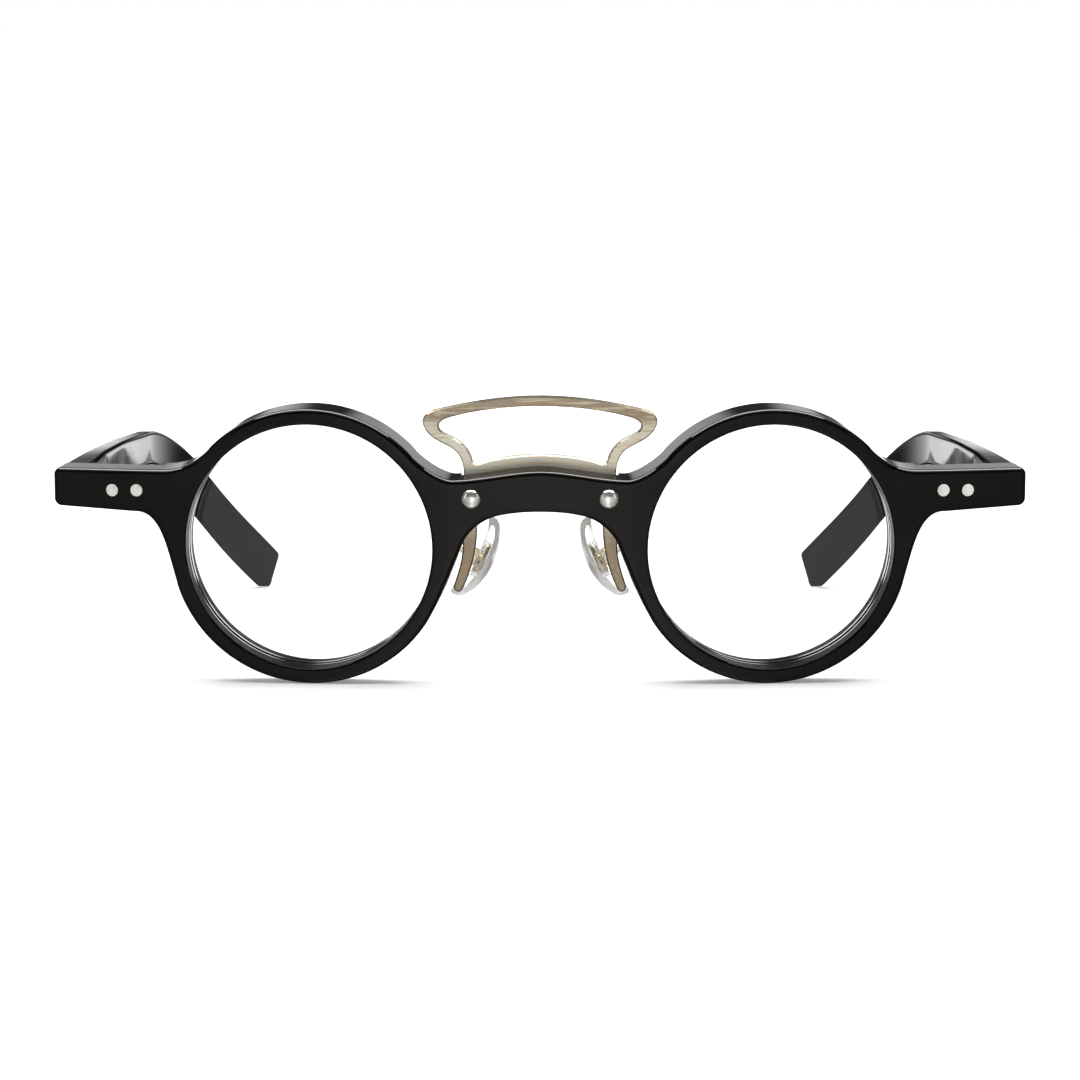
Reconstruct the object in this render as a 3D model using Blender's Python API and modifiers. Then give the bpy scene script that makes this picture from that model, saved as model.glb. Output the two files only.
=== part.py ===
"""Round acetate eyeglasses with a metal double bridge, as an assembly of separate pieces.

Frame: +X towards the wearer's left, +Y towards the wearer's ears, +Z up. The origin is on the surface the
glasses stand on, below the middle of the whole object. All pieces are drawn with the front at Y = 0 and
hang from one empty, which moves them to that origin.

The front and the bridge plate are drawn flat, in (across, behind, up), and then wrapped round the face and
tilted. The temples are drawn flat too, in (along, up) with a thickness, and then curved in to the head.
"""

import math

import bmesh
import bpy
from mathutils import Matrix, Vector

MM = 0.001

# Where the drawing's zero lies from the object's origin
MIDDLE_Y = 67.54 * MM
GROUND_Z = 0.30 * MM

# Front: one slab, wrapped round the face and tilted, milled thinner where metal sits on its back
FRONT_THICK = 6.4 * MM
FRONT_EDGE = 0.7 * MM
SEAT_THICK = 4.2 * MM
LENS_X = 33.2 * MM
LENS_Z = 19.9 * MM
RIM_OUTER = 20.05 * MM
RIM_INNER = 17.75 * MM
WRAP = math.radians(5.2)
WRAP_FROM = 14.0 * MM
ENDPIECE_WRAP = math.radians(10.0)
ENDPIECE_FROM = 53.0 * MM
ENDPIECE_TO = 60.0 * MM
ENDPIECE_SEAT = 54.6 * MM
TILT = math.radians(6.2)
FRONT_HALF_WIDTH = 70.3 * MM
FRONT_CORNER = 1.1 * MM

# Lens, edged with a V that sits in the rim's groove
LENS_V = 3.0 * MM
V_HALF = 0.55 * MM
GROOVE_DEPTH = 0.75 * MM
LENS_GAP = 0.1 * MM
LENS_THICK = 1.7 * MM
LENS_BASE = 120.0 * MM
LENS_FRONT = 2.2 * MM

# Bridge plate, flat behind the bridge
PLATE_THICK = 1.1 * MM
PLATE_GAP = 0.08 * MM
PLATE_CHAMFER = 0.15 * MM

# Rivets through the front
STUD = Vector((9.8, 0, 27.4)) * MM
STUD_HEAD = 1.325 * MM
STUD_DOME = 0.62 * MM
STUD_SHANK = 0.7 * MM
RIVET_POSITIONS = {"inner": (57.96 * MM, 27.8 * MM), "outer": (61.56 * MM, 27.7 * MM)}
RIVET_HEAD = 0.88 * MM
TAIL_HEAD = 1.15 * MM
TAIL_THICK = 0.3 * MM
HOLE_GAP = 0.05 * MM

# Hinge: three barrels on an upright axis just inside the temple
HINGE_X = 65.6 * MM
HINGE_Y = 12.0 * MM
BARREL = 1.2 * MM
BARREL_STEPS = (25.9 * MM, 27.45 * MM, 28.95 * MM, 30.5 * MM)
BARREL_GAP = 0.05 * MM
NECK_INSET = 0.15 * MM
SCREW_RADIUS = 0.6 * MM
SCREW_HEAD = 1.05 * MM
SCREW_HEAD_THICK = 0.45 * MM
LEAF_THICK = 0.95 * MM
FRONT_LEAF_FROM = 55.9 * MM
FRONT_LEAF_TO = 66.3 * MM
FRONT_LEAF_BOTTOM = 25.3 * MM
FRONT_LEAF_TOP = 29.7 * MM
TEMPLE_LEAF_FROM = 13.8 * MM
TEMPLE_LEAF_TO = 24.0 * MM

# Temple
TEMPLE_X = 70.0 * MM
TEMPLE_THICK = 4.5 * MM
TEMPLE_MID_THICK = 3.7 * MM
TEMPLE_TIP_THICK = 2.4 * MM
TEMPLE_EDGE = 0.6 * MM
TEMPLE_START = 8.0 * MM
BEND_START = 100.0 * MM
BEND_TOP = 30.3 * MM
BEND_RADIUS = 30.0 * MM
BEND_ANGLE = math.radians(45.5)
TIP_UPPER = Vector((136.4, 6.0)) * MM
TIP_LOWER = Vector((134.3, 0.05)) * MM
TIP_CORNER = 1.0 * MM
BUTT_GAP = 0.1 * MM
NOTCH_X = 67.1 * MM
NOTCH_Y = 13.6 * MM
TEMPLE_RIVETS = {"front": 17.4 * MM, "rear": 21.6 * MM}
TEMPLE_RIVET_Z = 29.1 * MM
TEMPLE_RIVET = 0.8 * MM
CORE_RADIUS = 0.6 * MM
BORE_RADIUS = 0.7 * MM
CORE_DEPTH = 2.0 * MM

# Nose pads
PAD_CENTRE = Vector((8.1, 12.0, 17.3)) * MM
PAD_UP = Vector((-0.47, -0.10, 0.88)).normalized()
PAD_SPLAY = math.radians(10)
PAD_LENGTH = 12.8 * MM
PAD_WIDTH = 6.2 * MM
PAD_THICK = 1.8 * MM
PAD_ROUND = 0.75 * MM
PAD_SAG = 1.7 * MM
INSERT_LENGTH = 5.4 * MM
INSERT_WIDTH = 3.0 * MM
INSERT_THICK = 0.7 * MM
PIVOT_HEIGHT = 0.8 * MM
TAB_THICK = 0.8 * MM
TAB_LENGTH = 1.2 * MM
TAB_TOP = 0.6 * MM
SLOT_TOP = 0.75 * MM
BOX_WIDTH = 2.0 * MM
BOX_LENGTH = 2.2 * MM
BOX_BELOW = 0.5 * MM
BOX_ABOVE = 0.95 * MM
BOX_GAP = 0.1 * MM
PAD_SCREW = 0.3 * MM
ARM_RADIUS = 0.45 * MM
ARM_ROOT = Vector((10.7, 0, 18.0)) * MM
FOOT_RADIUS = 0.75 * MM
FOOT_THICK = 0.5 * MM

FINISHES = {
    "black_acetate": ((0.010, 0.010, 0.009), 0.08, 0.0),
    "clear_lens": ((0.95, 0.96, 0.96), 0.02, 0.0),
    "antique_gold": ((0.46, 0.36, 0.24), 0.30, 1.0),
    "silver": ((0.78, 0.76, 0.72), 0.16, 1.0),
    "hinge_steel": ((0.60, 0.56, 0.50), 0.28, 1.0),
    "clear_pad": ((0.90, 0.90, 0.88), 0.12, 0.0),
    "core_steel": ((0.50, 0.49, 0.47), 0.35, 1.0),
}


# Scene and small helpers

def clear_scene():
    for obj in list(bpy.data.objects):
        bpy.data.objects.remove(obj, do_unlink=True)


def new_collection(name):
    collection = bpy.data.collections.new(name)
    bpy.context.scene.collection.children.link(collection)
    return collection


def finish(name):
    """A Principled material with the finish's colour, roughness and metallic value."""
    if name in bpy.data.materials:
        return bpy.data.materials[name]
    colour, roughness, metallic = FINISHES[name]
    material = bpy.data.materials.new(name)
    material.use_nodes = True
    shader = material.node_tree.nodes["Principled BSDF"]
    shader.inputs["Base Color"].default_value = (*colour, 1.0)
    shader.inputs["Roughness"].default_value = roughness
    shader.inputs["Metallic"].default_value = metallic
    material.diffuse_color = (*colour, 1.0)
    return material


def add_object(name, data):
    obj = bpy.data.objects.new(name, data)
    PARTS.objects.link(obj)
    return obj


def make_cutter(obj):
    PARTS.objects.unlink(obj)
    CUTTERS.objects.link(obj)
    obj.hide_render = True
    obj.display_type = "WIRE"
    return obj


def evaluated_mesh(obj):
    graph = bpy.context.evaluated_depsgraph_get()
    return bpy.data.meshes.new_from_object(obj.evaluated_get(graph), depsgraph=graph)


def as_mesh(obj, weld=1e-6):
    """The object, its modifiers or curve made a mesh, at the world's origin."""
    name = obj.name
    mesh = evaluated_mesh(obj)
    mesh.transform(obj.matrix_world)
    bpy.data.objects.remove(obj, do_unlink=True)
    shape = bmesh.new()
    shape.from_mesh(mesh)
    bmesh.ops.remove_doubles(shape, verts=shape.verts, dist=weld)
    shape.to_mesh(mesh)
    shape.free()
    return add_object(name, mesh)


def combine(obj, others, operation):
    """Booleans, applied; the others become hidden cutters."""
    for other in others:
        modifier = obj.modifiers.new(other.name, "BOOLEAN")
        modifier.operation = operation
        modifier.object = make_cutter(other)
        modifier.solver = "EXACT"
    return as_mesh(obj)


def slice_mesh(obj, axis, places):
    """Adds edges across the mesh, so that it can bend there."""
    normal = Vector((0, 0, 0))
    normal[axis] = 1
    shape = bmesh.new()
    shape.from_mesh(obj.data)
    for place in places:
        everything = shape.verts[:] + shape.edges[:] + shape.faces[:]
        bmesh.ops.bisect_plane(shape, geom=everything, dist=1e-7, plane_co=normal * place, plane_no=normal)
    bmesh.ops.triangulate(shape, faces=shape.faces)
    shape.to_mesh(obj.data)
    shape.free()


def bend(obj, place):
    for vertex in obj.data.vertices:
        vertex.co = place(vertex.co)


def dress(obj, finish_name, smooth=30):
    obj.data.materials.clear()
    obj.data.materials.append(finish(finish_name))
    obj.data.shade_smooth()
    obj.data.set_sharp_from_angle(angle=math.radians(smooth))
    return obj


def set_origin(obj, point):
    obj.data.transform(Matrix.Translation(-point))
    obj.location = point


def mirrored(obj, name):
    """The same piece for the other side."""
    mesh = obj.data.copy()
    mesh.transform(Matrix.Diagonal((-1, 1, 1, 1)) @ obj.matrix_basis)
    mesh.flip_normals()
    return add_object(name, mesh)


# Shapes

def bezier(p0, p1, p2, p3, count):
    """Points along a cubic curve, without its last one."""
    points = []
    for step in range(count):
        t = step / count
        weights = ((1 - t) ** 3, 3 * t * (1 - t) ** 2, 3 * t * t * (1 - t), t ** 3)
        places = zip(*(tuple(point) for point in (p0, p1, p2, p3)))
        points.append(tuple(sum(w * value for w, value in zip(weights, values)) for values in places))
    return points


def arc(centre, radius, start, end, count):
    """Points along an arc, without its last one; angles in degrees."""
    angles = [math.radians(start + (end - start) * step / count) for step in range(count)]
    return [(centre[0] + radius * math.cos(a), centre[1] + radius * math.sin(a)) for a in angles]


def flat_outline(name, outlines, thickness, edge, rings):
    """A flat plate from closed outlines, its edges rounded, standing in (across, behind, up)."""
    curve = bpy.data.curves.new(name, "CURVE")
    curve.dimensions = "2D"
    curve.fill_mode = "BOTH"
    curve.extrude = thickness / 2 - edge
    curve.bevel_depth = edge
    curve.bevel_resolution = rings
    curve.offset = -edge
    for outline in outlines:
        spline = curve.splines.new("POLY")
        spline.points.add(len(outline) - 1)
        for point, place in zip(spline.points, outline):
            point.co = (*place, 0, 1)
        spline.use_cyclic_u = True
    obj = add_object(name, curve)
    obj.matrix_world = Matrix.Translation((0, thickness / 2, 0)) @ Matrix.Rotation(math.pi / 2, 4, "X")
    bpy.context.view_layer.update()
    return as_mesh(obj)


def turned(name, profile, steps):
    """A turned solid about +Z from (radius, height) points, given from the top down its outer side."""
    mesh = bpy.data.meshes.new(name)
    verts = [(radius, 0, height) for radius, height in profile]
    mesh.from_pydata(verts, [(i, i + 1) for i in range(len(verts) - 1)], [])
    obj = add_object(name, mesh)
    screw = obj.modifiers.new("turn", "SCREW")
    screw.steps = steps
    screw.render_steps = steps
    screw.use_merge_vertices = True
    screw.merge_threshold = 1e-6
    return as_mesh(obj)


def box(name, low, high):
    low = Vector(low)
    high = Vector(high)
    mesh = bpy.data.meshes.new(name)
    shape = bmesh.new()
    place = Matrix.Translation((low + high) / 2) @ Matrix.Diagonal((*(high - low), 1))
    bmesh.ops.create_cube(shape, size=1, matrix=place)
    shape.to_mesh(mesh)
    shape.free()
    return add_object(name, mesh)


def cylinder(name, radius, low, high, steps=16):
    """A cylinder along +Z."""
    return turned(name, [(0, high), (radius, high), (radius, low), (0, low)], steps)


def wire(name, points, radius):
    curve = bpy.data.curves.new(name, "CURVE")
    curve.dimensions = "3D"
    curve.bevel_depth = radius
    curve.bevel_resolution = 1
    curve.use_fill_caps = True
    spline = curve.splines.new("POLY")
    spline.points.add(len(points) - 1)
    for point, place in zip(spline.points, points):
        point.co = (*place, 1)
    return as_mesh(add_object(name, curve))


def place_at(obj, matrix):
    obj.matrix_world = matrix
    return obj


# The front's own space: across, behind and up, wrapped and tilted into place

def front_stretches():
    """Stretches of the front's middle line: from, to, and the turn at each end."""
    return (
        (0.0, WRAP_FROM, 0.0, WRAP),
        (WRAP_FROM, ENDPIECE_FROM, WRAP, WRAP),
        (ENDPIECE_FROM, ENDPIECE_TO, WRAP, ENDPIECE_WRAP),
        (ENDPIECE_TO, 1.0, ENDPIECE_WRAP, ENDPIECE_WRAP),
    )


def wrapped(across):
    """Where a point of the flat front lies in plan, and how far the front is turned there."""
    x = y = turn = 0.0
    for start, end, turn_from, turn_to in front_stretches():
        if across <= start:
            break
        length = min(across, end) - start
        bend_rate = (turn_to - turn_from) / (end - start)
        turn = turn_from + bend_rate * length
        if bend_rate:
            x += (math.sin(turn) - math.sin(turn_from)) / bend_rate
            y += (math.cos(turn_from) - math.cos(turn)) / bend_rate
        else:
            x += length * math.cos(turn)
            y += length * math.sin(turn)
    return x, y, turn


def on_front(point):
    """From the flat front's (across, behind, up) to its place on the tilted, wrapped front."""
    across, behind, up = point
    x, y, turn = wrapped(abs(across))
    x -= behind * math.sin(turn)
    y += behind * math.cos(turn)
    x = math.copysign(x, across)
    lift = up - LENS_Z
    return Vector((
        x,
        y * math.cos(TILT) - lift * math.sin(TILT),
        LENS_Z + lift * math.cos(TILT) + y * math.sin(TILT),
    ))


def front_matrix(across, behind, up):
    """A place on the front with its own axes: X across, Y straight back, Z up the front."""
    turn = wrapped(abs(across))[2]
    turn = math.copysign(turn, across)
    rotation = Matrix.Rotation(TILT, 4, "X") @ Matrix.Rotation(turn, 4, "Z")
    return Matrix.Translation(on_front((across, behind, up))) @ rotation


def facing_back():
    """Turns a +Z solid so that its top points forwards, out of the front."""
    return Matrix.Rotation(math.pi / 2, 4, "X")


def bend_lines():
    inner = [WRAP_FROM * step / 4 for step in range(1, 5)]
    outer = [ENDPIECE_FROM + (ENDPIECE_TO - ENDPIECE_FROM) * step / 3 for step in range(4)]
    lines = inner + outer
    return [0.0] + lines + [-line for line in lines]


# Front frame

def mm(points):
    return [(x * MM, z * MM) for x, z in points]


def front_half_outline():
    """The right half of the front, from the middle of its top edge round to the middle of its bottom."""
    rim = (LENS_X, LENS_Z)
    top_join = math.degrees(math.asin(13.65 * MM / RIM_OUTER))
    end_join = math.degrees(math.asin(13.85 * MM / RIM_OUTER))
    low_join = math.degrees(math.asin(5.95 * MM / RIM_OUTER))
    nose_join = math.degrees(math.asin(10.05 * MM / RIM_OUTER))
    right = FRONT_HALF_WIDTH
    top = 30.7 * MM
    bottom = 25.1 * MM
    corner = FRONT_CORNER
    outline = bezier(*mm([(0, 31.4), (4.2, 31.35), (8.5, 30.1), (12.6, 30.0)]), 4)
    outline += bezier(*mm([(12.6, 30.0), (14.0, 30.0), (16.82, 31.62), (18.6, 33.52)]), 4)
    outline += arc(rim, RIM_OUTER, 180 - top_join, end_join, 13)
    outline += bezier(*mm([(47.6, 33.73), (49.2, 32.07), (51.4, 30.85), (54, 30.8)]), 5)
    outline += mm([(54, 30.8)])
    outline += arc((right - corner, top - corner), corner, 90, 0, 3)
    outline += arc((right - corner, bottom + corner), corner, 0, -90, 3)
    outline += [(right - corner, bottom)]
    outline += bezier(*mm([(58.5, 24.6), (54.6, 24.9), (53.9, 19.6), (52.3, 13.92)]), 6)
    outline += arc(rim, RIM_OUTER, -low_join, -180 + nose_join, 18)
    outline += bezier(*mm([(15.88, 9.85), (14.3, 12.6), (12.3, 17.7), (11.25, 20.4)]), 4)
    outline += bezier(*mm([(11.25, 20.4), (10.6, 22.1), (8.9, 24.0), (6.4, 24.75)]), 5)
    outline += bezier(*mm([(6.4, 24.75), (4.3, 25.3), (2.2, 25.45), (0, 25.45)]), 3)
    return outline + mm([(0, 25.45)])


def both_halves(half):
    """Closes a half outline that starts and ends on the middle line."""
    return half + [(-x, z) for x, z in reversed(half[1:-1])]


def lens_opening():
    """The rim's inner wall: rounded edges and a V groove for the lens."""
    groove = RIM_INNER + GROOVE_DEPTH
    profile = [
        (0, 1.0 * MM),
        (RIM_INNER + 0.35 * MM, 1.0 * MM),
        (RIM_INNER + 0.35 * MM, 0.05 * MM),
        (RIM_INNER + 0.1 * MM, -0.12 * MM),
        (RIM_INNER, -0.4 * MM),
        (RIM_INNER, V_HALF - LENS_V),
        (groove, -LENS_V),
        (RIM_INNER, -LENS_V - V_HALF),
        (RIM_INNER, 0.3 * MM - FRONT_THICK),
        (RIM_INNER + 0.35 * MM, -FRONT_THICK - 0.05 * MM),
        (RIM_INNER + 0.35 * MM, -FRONT_THICK - 1.0 * MM),
        (0, -FRONT_THICK - 1.0 * MM),
    ]
    return turned("lens_opening_cutter", profile, 40)


def flat_place(across, up):
    """A +Z solid turned into the flat front, its zero on the front face."""
    return Matrix.Translation((across, 0, up)) @ facing_back()


def through_hole(name, across, up, radius):
    low = -FRONT_THICK - 3 * MM
    hole = cylinder(name, radius, low, 2 * MM)
    return place_at(hole, flat_place(across, up))


def front_holes():
    holes = []
    for side in (1, -1):
        opening = lens_opening()
        holes.append(place_at(opening, flat_place(side * LENS_X, LENS_Z)))
        holes.append(through_hole("stud_hole", side * STUD.x, STUD.z, STUD_SHANK + HOLE_GAP))
        for across, up in RIVET_POSITIONS.values():
            holes.append(through_hole("rivet_hole", side * across, up, RIVET_HEAD + HOLE_GAP))
    return holes


def milled_seats():
    """What is milled off the front's back: a bed for the bridge plate, and one for each hinge."""
    depth = 1 * MM + FRONT_THICK - SEAT_THICK
    upper = [(0, 38), (11.6, 38), (11.6, 28), (12.4, 25.5)]
    lower = [(12.5, 21), (12.9, 17.5), (13.4, 15), (13.4, 12.4), (0, 12.4)]
    half = mm(upper + lower)
    bed = flat_outline("plate_bed", [both_halves(half)], depth, 0, 0)
    bed.data.transform(Matrix.Translation((0, SEAT_THICK, 0)))
    seats = [bed]
    for side in (1, -1):
        low = (min(side * ENDPIECE_SEAT, side * 80 * MM), SEAT_THICK, 22 * MM)
        high = (max(side * ENDPIECE_SEAT, side * 80 * MM), SEAT_THICK + depth, 34 * MM)
        seats.append(box("hinge_seat", low, high))
    return seats


def build_front():
    outline = both_halves(front_half_outline())
    front = flat_outline("front_frame", [outline], FRONT_THICK, FRONT_EDGE, 1)
    front = combine(front, milled_seats() + front_holes(), "DIFFERENCE")
    slice_mesh(front, 0, bend_lines())
    bend(front, on_front)
    dress(front, "black_acetate")


def build_lens():
    """A curved lens, thin all over, with a V edge."""
    sag = (RIM_INNER - LENS_GAP) ** 2 / (2 * LENS_BASE)
    rim_radius = RIM_INNER - LENS_GAP
    steps = 3
    profile = []
    for step in range(steps + 1):
        radius = rim_radius * step / steps
        profile.append((radius, sag - LENS_FRONT - radius ** 2 / (2 * LENS_BASE)))
    profile += [
        (rim_radius, V_HALF - LENS_V),
        (rim_radius + GROOVE_DEPTH, -LENS_V),
        (rim_radius, -LENS_V - V_HALF),
    ]
    for step in reversed(range(steps + 1)):
        radius = rim_radius * step / steps
        profile.append((radius, sag - LENS_FRONT - LENS_THICK - radius ** 2 / (2 * LENS_BASE)))
    lens = turned("lens_left", profile, 36)
    place_at(lens, front_matrix(LENS_X, 0, LENS_Z) @ facing_back())
    dress(lens, "clear_lens")
    dress(mirrored(lens, "lens_right"), "clear_lens")


# Bridge plate and its studs

def plate_half_outline():
    """The plate from the middle of its upper bar, round the side leg and lower leg, to its bottom edge."""
    outline = bezier(*mm([(0, 41.5), (6.0, 41.5), (11.5, 40.4), (15.6, 39.35)]), 5)
    outline += bezier(*mm([(15.6, 39.35), (16.9, 39.0), (17.5, 38.0), (17.1, 37.1)]), 3)
    outline += bezier(*mm([(17.1, 37.1), (16.3, 35.2), (14.6, 34.8), (13.2, 34.0)]), 4)
    outline += bezier(*mm([(13.2, 34.0), (11.6, 33.1), (11.2, 31.6), (11.2, 29.6)]), 4)
    outline += bezier(*mm([(11.2, 29.6), (11.4, 27.0), (12.3, 24.5), (11.6, 21.5)]), 3)
    outline += bezier(*mm([(11.6, 21.5), (11.0, 19.0), (11.95, 16.3), (12.75, 13.9)]), 4)
    outline += bezier(*mm([(12.75, 13.9), (12.9, 12.8), (11.85, 12.6), (11.4, 13.4)]), 4)
    outline += bezier(*mm([(11.4, 13.4), (10.1, 16.2), (9.35, 19.0), (9.3, 22.2)]), 3)
    outline += bezier(*mm([(9.3, 22.2), (9.2, 24.6), (8.3, 25.9), (6.4, 26.2)]), 3)
    return outline + mm([(0, 26.6)])


def plate_opening_half():
    """The gap between the two bars, from the middle of its top edge to the middle of its bottom edge."""
    outline = bezier(*mm([(0, 40.05), (5.5, 40.05), (10.5, 39.2), (13.6, 38.25)]), 4)
    outline += bezier(*mm([(13.6, 38.25), (15.2, 37.7), (15.3, 36.6), (13.9, 35.95)]), 4)
    outline += bezier(*mm([(13.9, 35.95), (11.6, 35.1), (10.2, 33.8), (9.9, 32.0)]), 4)
    outline += bezier(*mm([(9.9, 32.0), (9.4, 31.3), (8.6, 31.9), (8.0, 32.05)]), 2)
    outline += bezier(*mm([(8.0, 32.05), (5.6, 32.7), (2.8, 33.05), (0, 33.05)]), 3)
    return outline + mm([(0, 33.05)])


def build_plate():
    outlines = [both_halves(plate_half_outline()), both_halves(plate_opening_half())]
    plate = flat_outline("bridge_plate", outlines, PLATE_THICK, PLATE_CHAMFER, 0)
    plate.data.transform(Matrix.Translation((0, SEAT_THICK + PLATE_GAP, 0)))
    holes = [through_hole("plate_hole", side * STUD.x, STUD.z, STUD_SHANK + HOLE_GAP) for side in (1, -1)]
    plate = combine(plate, holes, "DIFFERENCE")
    slice_mesh(plate, 0, bend_lines())
    bend(plate, on_front)
    dress(plate, "antique_gold")


def build_studs():
    """Dome-headed rivets that clamp the plate to the front."""
    face = HOLE_GAP
    tail = -SEAT_THICK - PLATE_GAP - PLATE_THICK - HOLE_GAP
    profile = [(0, face + STUD_DOME)]
    for degrees in (30, 55, 80):
        angle = math.radians(degrees)
        profile.append((STUD_HEAD * math.sin(angle), face + STUD_DOME * math.cos(angle)))
    profile += [
        (STUD_HEAD, face),
        (STUD_SHANK, face),
        (STUD_SHANK, tail),
        (TAIL_HEAD, tail),
        (TAIL_HEAD, tail - TAIL_THICK),
        (0, tail - TAIL_THICK),
    ]
    stud = turned("bridge_stud_left", profile, 16)
    place_at(stud, front_matrix(STUD.x, 0, STUD.z) @ facing_back())
    dress(stud, "silver")
    dress(mirrored(stud, "bridge_stud_right"), "silver")


def rivet_profile(head, shank_end, leaf_end):
    """A flush rivet: full width through the acetate, thinner through the hinge leaf, then a tail."""
    neck = 0.75 * head
    tail = leaf_end - HOLE_GAP
    return [
        (0, 0.06 * MM),
        (0.7 * head, 0.04 * MM),
        (head, -0.02 * MM),
        (head, shank_end),
        (neck, shank_end),
        (neck, tail),
        (TAIL_HEAD, tail),
        (TAIL_HEAD, tail - TAIL_THICK),
        (0, tail - TAIL_THICK),
    ]


def build_endpiece_rivets():
    leaf_end = -SEAT_THICK - HOLE_GAP - LEAF_THICK
    for place, (across, up) in RIVET_POSITIONS.items():
        name = f"endpiece_rivet_{place}"
        rivet = turned(f"{name}_left", rivet_profile(RIVET_HEAD, -SEAT_THICK, leaf_end), 12)
        place_at(rivet, front_matrix(across, 0, up) @ facing_back())
        dress(rivet, "silver")
        dress(mirrored(rivet, f"{name}_right"), "silver")


# Hinges

def hinge_place():
    return Matrix.Translation((HINGE_X, HINGE_Y, 0))


def barrel(name, step):
    low = BARREL_STEPS[step] + BARREL_GAP
    high = BARREL_STEPS[step + 1] - BARREL_GAP
    return place_at(cylinder(name, BARREL, low, high), hinge_place())


def screw_hole(name):
    low = BARREL_STEPS[0] - 1 * MM
    hole = cylinder(name, SCREW_RADIUS + BARREL_GAP, low, BARREL_STEPS[3] + 1 * MM, 14)
    return place_at(hole, hinge_place())


def build_front_hinge():
    """A leaf flat on the endpiece's back, with the top and bottom barrels."""
    behind = SEAT_THICK + HOLE_GAP
    low = (FRONT_LEAF_FROM, behind, FRONT_LEAF_BOTTOM)
    high = (FRONT_LEAF_TO, behind + LEAF_THICK, FRONT_LEAF_TOP)
    leaf = box("front_hinge_left", low, high)
    slice_mesh(leaf, 0, bend_lines())
    bend(leaf, on_front)
    pieces = []
    for step in (0, 2):
        pieces.append(barrel("barrel", step))
        low = (HINGE_X - 1.0 * MM, HINGE_Y - 1.95 * MM, BARREL_STEPS[step] + NECK_INSET)
        high = (HINGE_X + 0.3 * MM, HINGE_Y - 0.7 * MM, BARREL_STEPS[step + 1] - NECK_INSET)
        pieces.append(box("neck", low, high))
    leaf = combine(leaf, pieces, "UNION")
    holes = [screw_hole("front_screw_hole")]
    for across, up in RIVET_POSITIONS.values():
        hole = cylinder("leaf_hole", 0.75 * RIVET_HEAD + HOLE_GAP, -1.5 * MM, 1.5 * MM)
        holes.append(place_at(hole, front_matrix(across, behind + LEAF_THICK / 2, up) @ facing_back()))
    leaf = combine(leaf, holes, "DIFFERENCE")
    dress(leaf, "hinge_steel")
    dress(mirrored(leaf, "front_hinge_right"), "hinge_steel")


def build_temple_hinge():
    """A leaf flat on the temple's inner side, with the middle barrel."""
    inner = TEMPLE_X - TEMPLE_THICK - HOLE_GAP
    low_z = BARREL_STEPS[1] + NECK_INSET
    high_z = BARREL_STEPS[2] - NECK_INSET
    low = (inner - LEAF_THICK, TEMPLE_LEAF_FROM, 26.3 * MM)
    leaf = box("temple_hinge_left", low, (inner, TEMPLE_LEAF_TO, 30.3 * MM))
    neck_low = (inner - LEAF_THICK, HINGE_Y + 0.3 * MM, low_z)
    neck = box("neck", neck_low, (inner, TEMPLE_LEAF_FROM + 1 * MM, high_z))
    leaf = combine(leaf, [barrel("barrel", 1), neck], "UNION")
    holes = [screw_hole("temple_screw_hole")]
    for along in TEMPLE_RIVETS.values():
        hole = cylinder("leaf_hole", 0.75 * TEMPLE_RIVET + HOLE_GAP, -1.5 * MM, 1.5 * MM)
        place = Matrix.Translation((inner - LEAF_THICK / 2, along, TEMPLE_RIVET_Z))
        holes.append(place_at(hole, place @ Matrix.Rotation(math.pi / 2, 4, "Y")))
    leaf = combine(leaf, holes, "DIFFERENCE")
    return leaf


def build_hinge_screw():
    top = BARREL_STEPS[3]
    profile = [
        (0, top + SCREW_HEAD_THICK),
        (0.8 * SCREW_HEAD, top + SCREW_HEAD_THICK),
        (SCREW_HEAD, top + 0.6 * SCREW_HEAD_THICK),
        (SCREW_HEAD, top + BARREL_GAP),
        (SCREW_RADIUS, top + BARREL_GAP),
        (SCREW_RADIUS, BARREL_STEPS[0]),
        (0, BARREL_STEPS[0]),
    ]
    screw = place_at(turned("hinge_screw_left", profile, 16), hinge_place())
    dress(screw, "hinge_steel")
    dress(mirrored(screw, "hinge_screw_right"), "hinge_steel")


# Temples: drawn in (along, up) with a thickness, then curved in to the head

def soft_ramp(value, reach):
    """Zero before the ramp, straight after it, and round between."""
    if value <= -reach:
        return 0.0
    if value >= reach:
        return value
    return (value + reach) ** 2 / (4 * reach)


def temple_inset(along):
    """How far the temple's outer face lies inside its straight line."""
    return 0.08 * soft_ramp(along - 78 * MM, 12 * MM) + 0.745 * soft_ramp(along - 114 * MM, 16 * MM)


def temple_thinning(along):
    """The temple's thickness there, as a share of its thickness at the hinge."""
    points = ((24 * MM, TEMPLE_THICK), (42 * MM, TEMPLE_MID_THICK), (140 * MM, TEMPLE_TIP_THICK))
    if along <= points[0][0]:
        return 1.0
    for (start, thick), (end, next_thick) in zip(points, points[1:]):
        if along <= end:
            break
    share = min(1.0, (along - start) / (end - start))
    return (thick + (next_thick - thick) * share) / TEMPLE_THICK


def on_temple(point):
    """From the flat temple's (along, depth, up) to its place, curved in to the head."""
    along, depth, up = point
    return Vector((TEMPLE_X - temple_inset(along) - depth * temple_thinning(along), along, up))


def temple_slices():
    gentle = [66 * MM + 6 * MM * step for step in range(6)]
    firm = [100 * MM + 5 * MM * step for step in range(7)]
    return [24 * MM, 42 * MM] + gentle + firm


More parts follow.
